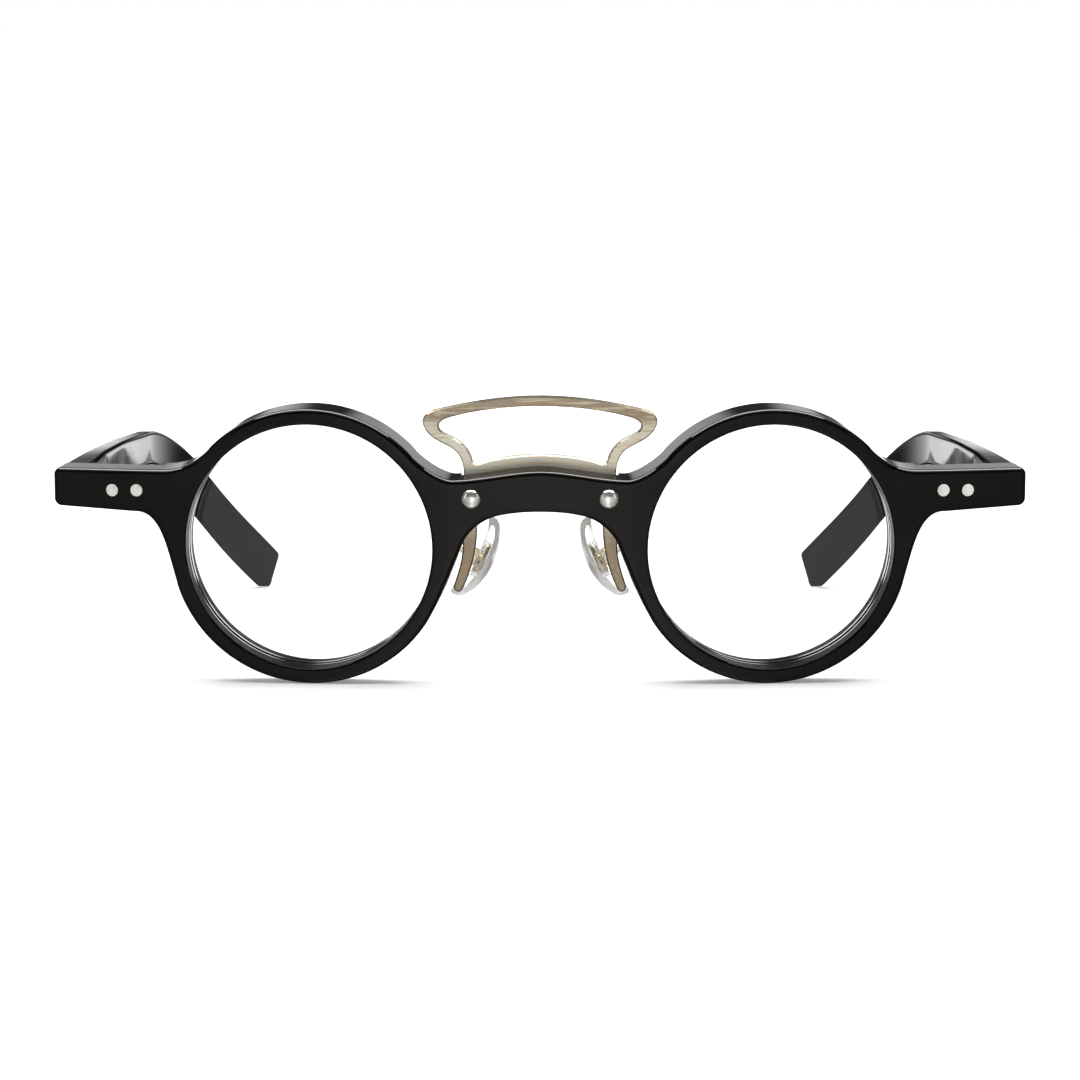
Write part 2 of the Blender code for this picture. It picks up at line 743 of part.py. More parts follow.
def temple_outline():
    centre = (BEND_START, BEND_TOP - BEND_RADIUS)
    end = 90 - math.degrees(BEND_ANGLE)
    cut = (TIP_LOWER - TIP_UPPER).normalized()
    down = (TIP_UPPER - Vector((121.4, 21.33)) * MM).normalized()
    back = (Vector((122.6, 11.4)) * MM - TIP_LOWER).normalized()
    upper_in = tuple(TIP_UPPER - down * TIP_CORNER)
    upper_out = tuple(TIP_UPPER + cut * TIP_CORNER)
    lower_in = tuple(TIP_LOWER - cut * TIP_CORNER)
    lower_out = tuple(TIP_LOWER + back * TIP_CORNER)
    start = TEMPLE_START / MM
    outline = bezier(*mm([(start, 31.1), (40, 31.5), (75, 30.3), (100, 30.3)]), 5)
    outline += arc(centre, BEND_RADIUS, 90, end, 7)
    outline += bezier(upper_in, tuple(TIP_UPPER), tuple(TIP_UPPER), upper_out, 3)
    outline += [upper_out]
    outline += bezier(lower_in, tuple(TIP_LOWER), tuple(TIP_LOWER), lower_out, 3)
    outline += bezier(lower_out, *mm([(122.6, 11.4), (113.8, 24.5), (100, 24.7)]), 8)
    outline += bezier(*mm([(100, 24.7), (75, 25.0), (40, 25.5), (start, 25.95)]), 4)
    return outline + mm([(start, 25.95)])


def core_path(start, end_angle):
    """The middle line of the wire inside the temple, from the hinge end to near the tip."""
    radius = 26.9 * MM
    centre = (BEND_START, BEND_TOP - BEND_RADIUS)
    path = bezier((start, 27.2 * MM), *mm([(40, 27.1), (75, 27.2), (100, 27.2)]), 4)
    path += arc(centre, radius, 90, end_angle, 6)
    last = math.radians(end_angle)
    end = Vector((centre[0] + radius * math.cos(last), centre[1] + radius * math.sin(last)))
    along = Vector((math.sin(last), -math.cos(last)))
    return path + [tuple(end), tuple(end + along * 8 * MM)]


def core_tube(name, start, radius):
    points = [(along, CORE_DEPTH, up) for along, up in core_path(start, 46)]
    return wire(name, points, radius)


def flat_temple():
    """The temple before it is curved, in (along, depth, up), with depth from its outer face inwards."""
    temple = flat_outline("temple_left", [temple_outline()], TEMPLE_THICK, TEMPLE_EDGE, 1)
    bore = core_tube("core_bore", TEMPLE_START - 2 * MM, BORE_RADIUS)
    notch_depth = TEMPLE_X - NOTCH_X
    notch = box("hinge_notch", (0, notch_depth, 20 * MM), (NOTCH_Y, TEMPLE_THICK + 2 * MM, 36 * MM))
    holes = [bore, notch]
    for along in TEMPLE_RIVETS.values():
        hole = cylinder("temple_rivet_hole", TEMPLE_RIVET + HOLE_GAP, -TEMPLE_THICK - 2 * MM, 2 * MM)
        holes.append(place_at(hole, flat_place(along, TEMPLE_RIVET_Z)))
    return combine(temple, holes, "DIFFERENCE")


def trim_butt(temple):
    """Cuts the temple's front end to lie flat against the endpiece's back."""
    point = on_front((66 * MM, SEAT_THICK + BUTT_GAP, 28 * MM))
    normal = front_matrix(66 * MM, 0, 28 * MM).to_3x3() @ Vector((0, 1, 0))
    shape = bmesh.new()
    shape.from_mesh(temple.data)
    everything = shape.verts[:] + shape.edges[:] + shape.faces[:]
    bmesh.ops.bisect_plane(
        shape, geom=everything, dist=1e-7, plane_co=point, plane_no=normal, clear_inner=True
    )
    edges = [edge for edge in shape.edges if edge.is_boundary]
    bmesh.ops.triangle_fill(shape, edges=edges, use_beauty=True, normal=-normal)
    bmesh.ops.recalc_face_normals(shape, faces=shape.faces)
    shape.to_mesh(temple.data)
    shape.free()


def build_temple(hinge_leaf):
    """The temple and everything that folds with it, all with their origin on the hinge axis."""
    temple = flat_temple()
    slice_mesh(temple, 0, temple_slices())
    bend(temple, on_temple)
    trim_butt(temple)
    core = core_tube("temple_core_left", TEMPLE_START + 4 * MM, CORE_RADIUS)
    slice_mesh(core, 0, temple_slices())
    bend(core, on_temple)
    pieces = [(temple, "black_acetate"), (core, "core_steel"), (hinge_leaf, "hinge_steel")]
    leaf_end = -TEMPLE_THICK - HOLE_GAP - LEAF_THICK
    for place, along in TEMPLE_RIVETS.items():
        rivet = turned(f"temple_rivet_{place}_left", rivet_profile(TEMPLE_RIVET, -TEMPLE_THICK, leaf_end), 12)
        outward = Matrix.Rotation(math.pi / 2, 4, "Y")
        place_at(rivet, Matrix.Translation((TEMPLE_X, along, TEMPLE_RIVET_Z)) @ outward)
        pieces.append((as_mesh(rivet), "silver"))
    axis = Vector((HINGE_X, HINGE_Y, BARREL_STEPS[1]))
    other_axis = Vector((-axis.x, axis.y, axis.z))
    for piece, finish_name in pieces:
        dress(piece, finish_name)
        other = mirrored(piece, piece.name.replace("_left", "_right"))
        dress(other, finish_name)
        set_origin(piece, axis)
        set_origin(other, other_axis)


# Nose pads: X forwards across the pad, Y out of its back towards the arm, Z up its length

def pad_matrix():
    rearward = Vector((math.sin(PAD_SPLAY), math.cos(PAD_SPLAY), 0))
    rearward = (rearward - rearward.dot(PAD_UP) * PAD_UP).normalized()
    outward = rearward.cross(PAD_UP).normalized()
    rotation = Matrix((-rearward, outward, PAD_UP)).transposed().to_4x4()
    return Matrix.Translation(PAD_CENTRE) @ rotation


def oval_outline(length, width, count):
    """A pad's outline: an oval, fuller at the bottom."""
    points = []
    for step in range(count):
        angle = math.tau * step / count
        fullness = 1 - 0.14 * math.sin(angle)
        points.append((width / 2 * math.cos(angle) * fullness, length / 2 * math.sin(angle)))
    return points


def pad_pivot():
    """The screw's place, in the pad's own axes."""
    return Vector((0, PAD_THICK / 2 + PIVOT_HEIGHT, 0))


def along_pivot(name, radius, low, high):
    """A cylinder on the pad screw's line, in the pad's own axes."""
    turn = Matrix.Rotation(math.pi / 2, 4, "Y")
    return place_at(cylinder(name, radius, low, high, 12), Matrix.Translation(pad_pivot()) @ turn)


def curved_pad(point):
    """Bows the pad, so that its two ends lie further out than its middle."""
    across, out, up = point
    return Vector((across, out + PAD_SAG * (2 * up / PAD_LENGTH) ** 2, up))


def build_pad():
    outline = oval_outline(PAD_LENGTH, PAD_WIDTH, 20)
    pad = flat_outline("nose_pad_left", [outline], PAD_THICK, PAD_ROUND, 1)
    pad.data.transform(Matrix.Translation((0, -PAD_THICK / 2, 0)))
    slice_mesh(pad, 2, [PAD_LENGTH * step / 10 for step in range(-4, 5)])
    bend(pad, curved_pad)
    gap = 2 * BOX_GAP
    size = (INSERT_LENGTH + gap, INSERT_WIDTH + gap)
    recess = flat_outline("insert_recess", [oval_outline(*size, 16)], PAD_SAG + 1 * MM, 0, 0)
    recess.data.transform(Matrix.Translation((0, PAD_THICK / 2 - INSERT_THICK - BOX_GAP, 0)))
    return combine(pad, [recess], "DIFFERENCE")


def build_insert():
    """The plaque in the pad's recess, with the tab that the arm's clamp box holds."""
    size = (INSERT_LENGTH, INSERT_WIDTH)
    plaque = flat_outline("pad_insert_left", [oval_outline(*size, 16)], INSERT_THICK, 0, 0)
    plaque.data.transform(Matrix.Translation((0, PAD_THICK / 2 - INSERT_THICK, 0)))
    pivot = pad_pivot()
    low = (-TAB_THICK / 2, PAD_THICK / 2 - 0.2 * MM, -TAB_LENGTH / 2)
    tab = box("tab", low, (TAB_THICK / 2, pivot.y + TAB_TOP, TAB_LENGTH / 2))
    plaque = combine(plaque, [tab], "UNION")
    hole = along_pivot("tab_hole", PAD_SCREW + 0.05 * MM, -3 * MM, 3 * MM)
    return combine(plaque, [hole], "DIFFERENCE")


def build_pad_arm(place):
    """The clamp box round the tab, and the wire from it to a foot on the plate's lower leg."""
    pivot = pad_pivot()
    low = pivot - Vector((BOX_WIDTH / 2, BOX_BELOW, BOX_LENGTH / 2))
    body = box("pad_arm_left", low, pivot + Vector((BOX_WIDTH / 2, BOX_ABOVE, BOX_LENGTH / 2)))
    slot_half = TAB_THICK / 2 + BOX_GAP
    slot = box("slot", (-slot_half, 0, -3 * MM), (slot_half, pivot.y + SLOT_TOP, 3 * MM))
    hole = along_pivot("box_hole", PAD_SCREW + 0.03 * MM, -3 * MM, 3 * MM)
    body = combine(body, [slot, hole], "DIFFERENCE")
    body.data.transform(place)
    behind = SEAT_THICK + PLATE_GAP + PLATE_THICK + HOLE_GAP
    foot_place = front_matrix(ARM_ROOT.x, behind, ARM_ROOT.z) @ facing_back()
    foot = place_at(cylinder("arm_foot", FOOT_RADIUS, -FOOT_THICK, 0, 12), foot_place)
    root = foot_place @ Vector((0, 0, -FOOT_THICK / 2))
    clamp = place @ (pivot + Vector((0, BOX_ABOVE - 0.1 * MM, 0)))
    out = (place.to_3x3() @ Vector((0, 1, 0))).normalized()
    route = bezier(root, root + Vector((0.3, 2.8, 0)) * MM, clamp + out * 2.4 * MM, clamp, 6)
    arm = wire("arm_wire", route + [tuple(clamp)], ARM_RADIUS)
    return combine(body, [foot, arm], "UNION")


def build_pads():
    place = pad_matrix()
    pivot = place @ pad_pivot()
    other_pivot = Vector((-pivot.x, pivot.y, pivot.z))
    arm = build_pad_arm(place)
    dress(arm, "antique_gold")
    dress(mirrored(arm, "pad_arm_right"), "antique_gold")
    reach = BOX_WIDTH / 2 + 0.15 * MM
    screw = along_pivot("pad_screw_left", PAD_SCREW, -reach, reach)
    place_at(screw, place @ screw.matrix_world)
    dress(screw, "silver")
    dress(mirrored(screw, "pad_screw_right"), "silver")
    for piece, finish_name in ((build_pad(), "clear_pad"), (build_insert(), "silver")):
        piece.data.transform(place)
        dress(piece, finish_name)
        other = mirrored(piece, piece.name.replace("_left", "_right"))
        dress(other, finish_name)
        set_origin(piece, pivot)
        set_origin(other, other_pivot)


def gather():
    """Hangs every piece from one empty, which moves the object to its own origin."""
    centre = bpy.data.objects.new("eyeglasses_origin", None)
    bpy.context.scene.collection.objects.link(centre)
    for obj in PARTS.objects:
        obj.parent = centre
    centre.location = (0, -MIDDLE_Y, -GROUND_Z)
    bpy.context.view_layer.update()


clear_scene()
PARTS = new_collection("eyeglasses")
CUTTERS = new_collection("cutters")
build_front()
build_lens()
build_plate()
build_studs()
build_endpiece_rivets()
build_front_hinge()
build_hinge_screw()
build_temple(build_temple_hinge())
build_pads()
gather()
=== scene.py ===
"""Round black acetate eyeglasses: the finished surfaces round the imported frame, and their stage."""

import math

import bmesh
import bpy
from bpy.props import FloatProperty, FloatVectorProperty, IntProperty, PointerProperty
from mathutils import Matrix, Vector


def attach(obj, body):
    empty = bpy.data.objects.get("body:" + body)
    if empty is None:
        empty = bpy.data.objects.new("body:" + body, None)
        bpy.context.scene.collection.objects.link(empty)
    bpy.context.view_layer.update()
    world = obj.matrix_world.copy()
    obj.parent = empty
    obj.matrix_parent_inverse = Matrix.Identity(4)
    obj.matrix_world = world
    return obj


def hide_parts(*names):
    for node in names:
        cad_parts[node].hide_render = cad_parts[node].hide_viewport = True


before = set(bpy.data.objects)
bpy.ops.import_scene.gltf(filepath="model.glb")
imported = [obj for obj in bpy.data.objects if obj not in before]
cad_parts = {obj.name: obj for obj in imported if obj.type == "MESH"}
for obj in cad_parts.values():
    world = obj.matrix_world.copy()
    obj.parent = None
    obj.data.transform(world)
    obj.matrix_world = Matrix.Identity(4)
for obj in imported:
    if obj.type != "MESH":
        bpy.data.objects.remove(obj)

bl_info = {
    "name": "Round acetate eyeglasses",
    "version": (1, 0, 0),
    "blender": (4, 5, 0),
    "location": "3D View > Sidebar > Eyeglasses",
    "description": "Models the acetate, metal, lenses and pads of round eyeglasses, and a plain stage",
    "category": "Object",
}

MM = 0.001

# Where the drawing's zero lies from the object's origin
MIDDLE_Y = 67.54 * MM
GROUND_Z = 0.30 * MM

# Front
FRONT_THICK = 6.4 * MM
SEAT_THICK = 4.2 * MM
LENS_X = 33.2 * MM
LENS_Z = 19.9 * MM
RIM_OUTER = 20.05 * MM
RIM_INNER = 17.75 * MM
WRAP = math.radians(5.2)
WRAP_FROM = 14.0 * MM
ENDPIECE_WRAP = math.radians(10.0)
ENDPIECE_FROM = 53.0 * MM
ENDPIECE_TO = 60.0 * MM
ENDPIECE_SEAT = 54.6 * MM
TILT = math.radians(6.2)
FRONT_HALF_WIDTH = 70.3 * MM
FRONT_CORNER = 1.1 * MM

# Lens
LENS_V = 3.0 * MM
V_HALF = 0.55 * MM
GROOVE_DEPTH = 0.75 * MM
LENS_GAP = 0.1 * MM
LENS_THICK = 1.7 * MM
LENS_BASE = 120.0 * MM
LENS_FRONT = 2.2 * MM
GLASS_IOR = 1.5

# Bridge plate and rivets
PLATE_THICK = 1.1 * MM
PLATE_GAP = 0.08 * MM
STUD = Vector((9.8, 0, 27.4)) * MM
STUD_HEAD = 1.325 * MM
STUD_DOME = 0.62 * MM
STUD_SHANK = 0.7 * MM
RIVET_POSITIONS = {"inner": (57.96 * MM, 27.8 * MM), "outer": (61.56 * MM, 27.7 * MM)}
RIVET_HEAD = 0.88 * MM
TAIL_HEAD = 1.15 * MM
TAIL_THICK = 0.3 * MM
HOLE_GAP = 0.05 * MM

# Hinge
HINGE_X = 65.6 * MM
HINGE_Y = 12.0 * MM
BARREL = 1.2 * MM
BARREL_STEPS = (25.9 * MM, 27.45 * MM, 28.95 * MM, 30.5 * MM)
BARREL_GAP = 0.05 * MM
NECK_INSET = 0.15 * MM
SCREW_RADIUS = 0.6 * MM
SCREW_HEAD = 1.05 * MM
SCREW_HEAD_THICK = 0.45 * MM
LEAF_THICK = 0.95 * MM

# Temple
TEMPLE_X = 70.0 * MM
TEMPLE_THICK = 4.5 * MM
TEMPLE_MID_THICK = 3.7 * MM
TEMPLE_TIP_THICK = 2.4 * MM
TEMPLE_START = 8.0 * MM
BEND_START = 100.0 * MM
BEND_TOP = 30.3 * MM
BEND_RADIUS = 30.0 * MM
BEND_ANGLE = math.radians(45.5)
TIP_UPPER = Vector((136.4, 6.0)) * MM
TIP_LOWER = Vector((134.3, 0.05)) * MM
TIP_CORNER = 1.5 * MM
BUTT_GAP = 0.1 * MM
NOTCH_X = 67.1 * MM
NOTCH_Y = 13.6 * MM
TEMPLE_RIVETS = {"front": 17.4 * MM, "rear": 21.6 * MM}
TEMPLE_RIVET_Z = 29.1 * MM
TEMPLE_RIVET = 0.8 * MM
CORE_BORE = 0.7 * MM
CORE_DEPTH = 2 * MM
CORE_Z = 27.2 * MM

# Nose pads
PAD_CENTRE = Vector((8.1, 12.0, 17.3)) * MM
PAD_UP = Vector((-0.47, -0.10, 0.88)).normalized()
PAD_SPLAY = math.radians(10)
PAD_LENGTH = 12.8 * MM
PAD_WIDTH = 6.2 * MM
PAD_THICK = 1.8 * MM
PAD_SAG = 1.7 * MM
INSERT_LENGTH = 5.4 * MM
INSERT_WIDTH = 3.0 * MM
INSERT_THICK = 0.7 * MM
PIVOT_HEIGHT = 0.8 * MM
TAB_THICK = 0.8 * MM
TAB_LENGTH = 1.2 * MM
TAB_TOP = 0.6 * MM
SLOT_TOP = 0.75 * MM
BOX_WIDTH = 2.0 * MM
BOX_LENGTH = 2.2 * MM
BOX_BELOW = 0.5 * MM
BOX_ABOVE = 0.95 * MM
BOX_GAP = 0.1 * MM
PAD_SCREW = 0.3 * MM
ARM_RADIUS = 0.45 * MM
ARM_ROOT = Vector((10.7, 0, 18.0)) * MM
FOOT_RADIUS = 0.75 * MM
FOOT_THICK = 0.5 * MM

# Camera, with its dip below level in degrees
CAMERA_PLACE = (0, -597.54 * MM, 71.9 * MM)
CAMERA_DIP = 5.465
CAMERA_LENS = 124.83


# Selecting, edit mode and modifiers

def deselect():
    bpy.ops.object.select_all(action="DESELECT")


def activate(obj):
    deselect()
    obj.select_set(True)
    bpy.context.view_layer.objects.active = obj
    return obj


def edit(obj, select="SELECT"):
    activate(obj)
    bpy.ops.object.mode_set(mode="EDIT")
    bpy.ops.mesh.select_mode(type="VERT")
    bpy.ops.mesh.select_all(action=select)


def done_editing():
    bpy.ops.object.mode_set(mode="OBJECT")


def named(name):
    obj = bpy.context.view_layer.objects.active
    obj.name = name
    obj.data.name = name
    return obj


def settle(obj):
    """Puts the object's place into its mesh."""
    activate(obj)
    bpy.ops.object.transform_apply(location=True, rotation=True, scale=True)
    return obj


def put(obj, matrix):
    obj.matrix_world = matrix @ obj.matrix_world
    bpy.context.view_layer.update()
    return settle(obj)


def tidy_mesh(obj, weld=1e-7):
    edit(obj)
    bpy.ops.mesh.remove_doubles(threshold=weld)
    bpy.ops.mesh.normals_make_consistent(inside=False)
    done_editing()
    return obj


def apply_modifiers(obj):
    activate(obj)
    for modifier in list(obj.modifiers):
        bpy.ops.object.modifier_apply(modifier=modifier.name)
    return obj


def combine(obj, others, operation="DIFFERENCE"):
    for other in others:
        modifier = obj.modifiers.new("boolean", "BOOLEAN")
        modifier.operation = operation
        modifier.object = other
        modifier.solver = "EXACT"
    apply_modifiers(obj)
    for other in others:
        bpy.data.objects.remove(other, do_unlink=True)
    return tidy_mesh(obj)


def soften(obj, width, segments=3, angle=40):
    """Small rounds along the sharp edges, as tumbling leaves them."""
    modifier = obj.modifiers.new("round", "BEVEL")
    modifier.width = width
    modifier.segments = segments
    modifier.limit_method = "ANGLE"
    modifier.angle_limit = math.radians(angle)
    modifier.use_clamp_overlap = True
    return apply_modifiers(obj)


def slice_at(obj, axis, places):
    """Adds edges across the mesh, so that it can bend there."""
    normal = Vector((0, 0, 0))
    normal[axis] = 1
    for place in places:
        edit(obj)
        bpy.ops.mesh.bisect(plane_co=normal * place, plane_no=normal, threshold=1e-8)
        done_editing()
    return obj


def bend(obj, place):
    for vertex in obj.data.vertices:
        vertex.co = place(vertex.co)
    obj.data.update()
    return obj


def shade(obj, angle=32):
    """Smooth shading that keeps flat faces flat and true edges crisp."""
    activate(obj)
    bpy.ops.object.shade_smooth_by_angle(angle=math.radians(angle))
    weights = obj.modifiers.new("weights", "WEIGHTED_NORMAL")
    weights.keep_sharp = True
    weights.weight = 80
    return apply_modifiers(obj)


def mirrored(obj, name):
    """The same piece for the other side, with its own mesh."""
    activate(obj)
    bpy.ops.object.duplicate(linked=False)
    other = named(name)
    other.scale = (-1, 1, 1)
    settle(other)
    edit(other)
    bpy.ops.mesh.normals_make_consistent(inside=False)
    done_editing()
    return other


# Primitives and outlines

def spun(name, profile, steps=48):
    """A turned solid about Z from (radius, height) points, its first and last on the axis."""
    bpy.ops.object.select_all(action="DESELECT")
    bpy.ops.mesh.primitive_plane_add(size=1 * MM, location=(0, 0, 0))
    obj = named(name)
    edit(obj)
    bpy.ops.mesh.merge(type="CENTER")
    bpy.ops.transform.translate(value=(profile[0][0], 0, profile[0][1]))
    here = profile[0]
    for point in profile[1:]:
        step = (point[0] - here[0], 0, point[1] - here[1])
        bpy.ops.mesh.extrude_region_move(TRANSFORM_OT_translate={"value": step})
        here = point
    bpy.ops.mesh.select_all(action="SELECT")
    bpy.ops.mesh.spin(steps=steps, angle=math.tau, center=(0, 0, 0), axis=(0, 0, 1), use_auto_merge=True)
    done_editing()
    return tidy_mesh(obj)


def block(name, low, high):
    low = Vector(low)
    high = Vector(high)
    deselect()
    bpy.ops.mesh.primitive_cube_add(size=1, location=(low + high) / 2, scale=high - low)
    return settle(named(name))


def rod(name, radius, low, high, steps=48):
    """A cylinder along Z."""
    deselect()
    bpy.ops.mesh.primitive_cylinder_add(
        vertices=steps, radius=radius, depth=high - low, location=(0, 0, (high + low) / 2)
    )
    return settle(named(name))


def sheet_outline(name, outlines, thickness, edge, rings):
    """A plate cut to closed outlines, its edges rounded, standing in (across, behind, up)."""
    curve = bpy.data.curves.new(name, "CURVE")
    curve.dimensions = "2D"
    curve.fill_mode = "BOTH"
    curve.extrude = thickness / 2 - edge
    curve.bevel_depth = edge
    curve.bevel_resolution = rings
    curve.offset = -edge
    for outline in outlines:
        spline = curve.splines.new("POLY")
        spline.points.add(len(outline) - 1)
        for point, place in zip(spline.points, outline):
            point.co = (*place, 0, 1)
        spline.use_cyclic_u = True
    obj = bpy.data.objects.new(name, curve)
    bpy.context.scene.collection.objects.link(obj)
    activate(obj)
    bpy.ops.object.convert(target="MESH")
    obj = named(name)
    put(obj, Matrix.Translation((0, thickness / 2, 0)) @ Matrix.Rotation(math.pi / 2, 4, "X"))
    return tidy_mesh(obj, 1e-6)


def wire(name, points, radius):
    """A round wire along a smooth path."""
    curve = bpy.data.curves.new(name, "CURVE")
    curve.dimensions = "3D"
    curve.bevel_depth = radius
    curve.bevel_resolution = 6
    curve.use_fill_caps = True
    spline = curve.splines.new("POLY")
    spline.points.add(len(points) - 1)
    for point, place in zip(spline.points, points):
        point.co = (*place, 1)
    obj = bpy.data.objects.new(name, curve)
    bpy.context.scene.collection.objects.link(obj)
    activate(obj)
    bpy.ops.object.convert(target="MESH")
    return tidy_mesh(named(name), 1e-6)


def bezier(p0, p1, p2, p3, count):
    """Points along a cubic curve, without its last one."""
    points = []
    for step in range(count):
        t = step / count
        weights = ((1 - t) ** 3, 3 * t * (1 - t) ** 2, 3 * t * t * (1 - t), t ** 3)
        places = zip(*(tuple(point) for point in (p0, p1, p2, p3)))
        points.append(tuple(sum(w * value for w, value in zip(weights, values)) for values in places))
    return points


def arc(centre, radius, start, end, count):
    """Points along an arc, without its last one; angles in degrees."""
    angles = [math.radians(start + (end - start) * step / count) for step in range(count)]
    return [(centre[0] + radius * math.cos(a), centre[1] + radius * math.sin(a)) for a in angles]


def round_edge(radius, height, size, start, end, count=5):
    """Points of a rounded edge in (radius, height); angles in degrees, the last point included."""
    return arc((radius, height), size, start, end, count) + [
        (radius + size * math.cos(math.radians(end)), height + size * math.sin(math.radians(end)))
    ]


def mm(points):
    return [(x * MM, z * MM) for x, z in points]


def both_halves(half):
    return half + [(-x, z) for x, z in reversed(half[1:-1])]


# The front's own space: across, behind and up, wrapped and tilted into place

def front_stretches():
    return (
        (0.0, WRAP_FROM, 0.0, WRAP),
        (WRAP_FROM, ENDPIECE_FROM, WRAP, WRAP),
        (ENDPIECE_FROM, ENDPIECE_TO, WRAP, ENDPIECE_WRAP),
        (ENDPIECE_TO, 1.0, ENDPIECE_WRAP, ENDPIECE_WRAP),
    )


def wrapped(across):
    """Where a point of the flat front lies in plan, and how far the front is turned there."""
    x = y = turn = 0.0
    for start, end, turn_from, turn_to in front_stretches():
        if across <= start:
            break
        length = min(across, end) - start
        bend_rate = (turn_to - turn_from) / (end - start)
        turn = turn_from + bend_rate * length
        if bend_rate:
            x += (math.sin(turn) - math.sin(turn_from)) / bend_rate
            y += (math.cos(turn_from) - math.cos(turn)) / bend_rate
        else:
            x += length * math.cos(turn)
            y += length * math.sin(turn)
    return x, y, turn


def on_front(point):
    """From the flat front's (across, behind, up) to its place on the finished object."""
    across, behind, up = point
    x, y, turn = wrapped(abs(across))
    x -= behind * math.sin(turn)
    y += behind * math.cos(turn)
    x = math.copysign(x, across)
    lift = up - LENS_Z
    return Vector((
        x,
        y * math.cos(TILT) - lift * math.sin(TILT) - MIDDLE_Y,
        LENS_Z + lift * math.cos(TILT) + y * math.sin(TILT) - GROUND_Z,
    ))


def front_matrix(across, behind, up):
    """A place on the front with its own axes: X across, Y straight back, Z up the front."""
    turn = math.copysign(wrapped(abs(across))[2], across)
    rotation = Matrix.Rotation(TILT, 4, "X") @ Matrix.Rotation(turn, 4, "Z")
    return Matrix.Translation(on_front((across, behind, up))) @ rotation


def facing_back():
    """Turns a +Z solid so that its top points forwards, out of the front."""
    return Matrix.Rotation(math.pi / 2, 4, "X")


def flat_place(across, up):
    return Matrix.Translation((across, 0, up)) @ facing_back()


def origin_shift():
    return Matrix.Translation((0, -MIDDLE_Y, -GROUND_Z))


def bend_lines():
    inner = [WRAP_FROM * step / 12 for step in range(1, 13)]
    outer = [ENDPIECE_FROM + (ENDPIECE_TO - ENDPIECE_FROM) * step / 8 for step in range(9)]
    lines = inner + outer
    return [0.0] + lines + [-line for line in lines]


# Outlines

def front_half_outline():
    """Half of the front, from the middle of its top edge round to the middle of its bottom."""
    rim = (LENS_X, LENS_Z)
    top_join = math.degrees(math.asin(13.65 * MM / RIM_OUTER))
    end_join = math.degrees(math.asin(13.85 * MM / RIM_OUTER))
    low_join = math.degrees(math.asin(5.95 * MM / RIM_OUTER))
    nose_join = math.degrees(math.asin(10.05 * MM / RIM_OUTER))
    right = FRONT_HALF_WIDTH
    top = 30.7 * MM
    bottom = 25.1 * MM
    corner = FRONT_CORNER
    outline = bezier(*mm([(0, 31.4), (4.2, 31.35), (8.5, 30.1), (12.6, 30.0)]), 12)
    outline += bezier(*mm([(12.6, 30.0), (14.0, 30.0), (16.82, 31.62), (18.6, 33.52)]), 12)
    outline += arc(rim, RIM_OUTER, 180 - top_join, end_join, 40)
    outline += bezier(*mm([(47.6, 33.73), (49.2, 32.07), (51.4, 30.85), (54, 30.8)]), 12)
    outline += mm([(54, 30.8), (58, 30.77), (62, 30.75), (66, 30.72)])
    outline += arc((right - corner, top - corner), corner, 90, 0, 8)
    outline += arc((right - corner, bottom + corner), corner, 0, -90, 8)
    outline += [(right - corner, bottom)]
    outline += bezier(*mm([(58.5, 24.6), (54.6, 24.9), (53.9, 19.6), (52.3, 13.92)]), 20)
    outline += arc(rim, RIM_OUTER, -low_join, -180 + nose_join, 54)
    outline += bezier(*mm([(15.88, 9.85), (14.3, 12.6), (12.3, 17.7), (11.25, 20.4)]), 12)
    outline += bezier(*mm([(11.25, 20.4), (10.6, 22.1), (8.9, 24.0), (6.4, 24.75)]), 12)
    outline += bezier(*mm([(6.4, 24.75), (4.3, 25.3), (2.2, 25.45), (0, 25.45)]), 8)
    return outline + mm([(0, 25.45)])


def plate_half_outline():
    """The plate from the middle of its upper bar, round the side leg and lower leg, to its bottom edge."""
    outline = bezier(*mm([(0, 41.5), (6.0, 41.5), (11.5, 40.4), (15.6, 39.35)]), 14)
    outline += bezier(*mm([(15.6, 39.35), (16.9, 39.0), (17.5, 38.0), (17.1, 37.1)]), 10)
    outline += bezier(*mm([(17.1, 37.1), (16.3, 35.2), (14.6, 34.8), (13.2, 34.0)]), 12)
    outline += bezier(*mm([(13.2, 34.0), (11.6, 33.1), (11.2, 31.6), (11.2, 29.6)]), 12)
    outline += bezier(*mm([(11.2, 29.6), (11.4, 27.0), (12.3, 24.5), (11.6, 21.5)]), 10)
    outline += bezier(*mm([(11.6, 21.5), (11.0, 19.0), (11.95, 16.3), (12.75, 13.9)]), 12)
    outline += bezier(*mm([(12.75, 13.9), (12.9, 12.8), (11.85, 12.6), (11.4, 13.4)]), 10)
    outline += bezier(*mm([(11.4, 13.4), (10.1, 16.2), (9.35, 19.0), (9.3, 22.2)]), 10)
    outline += bezier(*mm([(9.3, 22.2), (9.2, 24.6), (8.3, 25.9), (6.4, 26.2)]), 10)
    return outline + mm([(0, 26.6)])


def plate_opening_half():
    """The gap between the two bars, from the middle of its top edge to the middle of its bottom edge."""
    outline = bezier(*mm([(0, 40.05), (5.5, 40.05), (10.5, 39.2), (13.6, 38.25)]), 14)
    outline += bezier(*mm([(13.6, 38.25), (15.2, 37.7), (15.3, 36.6), (13.9, 35.95)]), 12)
    outline += bezier(*mm([(13.9, 35.95), (11.6, 35.1), (10.2, 33.8), (9.9, 32.0)]), 12)
    outline += bezier(*mm([(9.9, 32.0), (9.4, 31.3), (8.6, 31.9), (8.0, 32.05)]), 8)
    outline += bezier(*mm([(8.0, 32.05), (5.6, 32.7), (2.8, 33.05), (0, 33.05)]), 12)
    return outline + mm([(0, 33.05)])


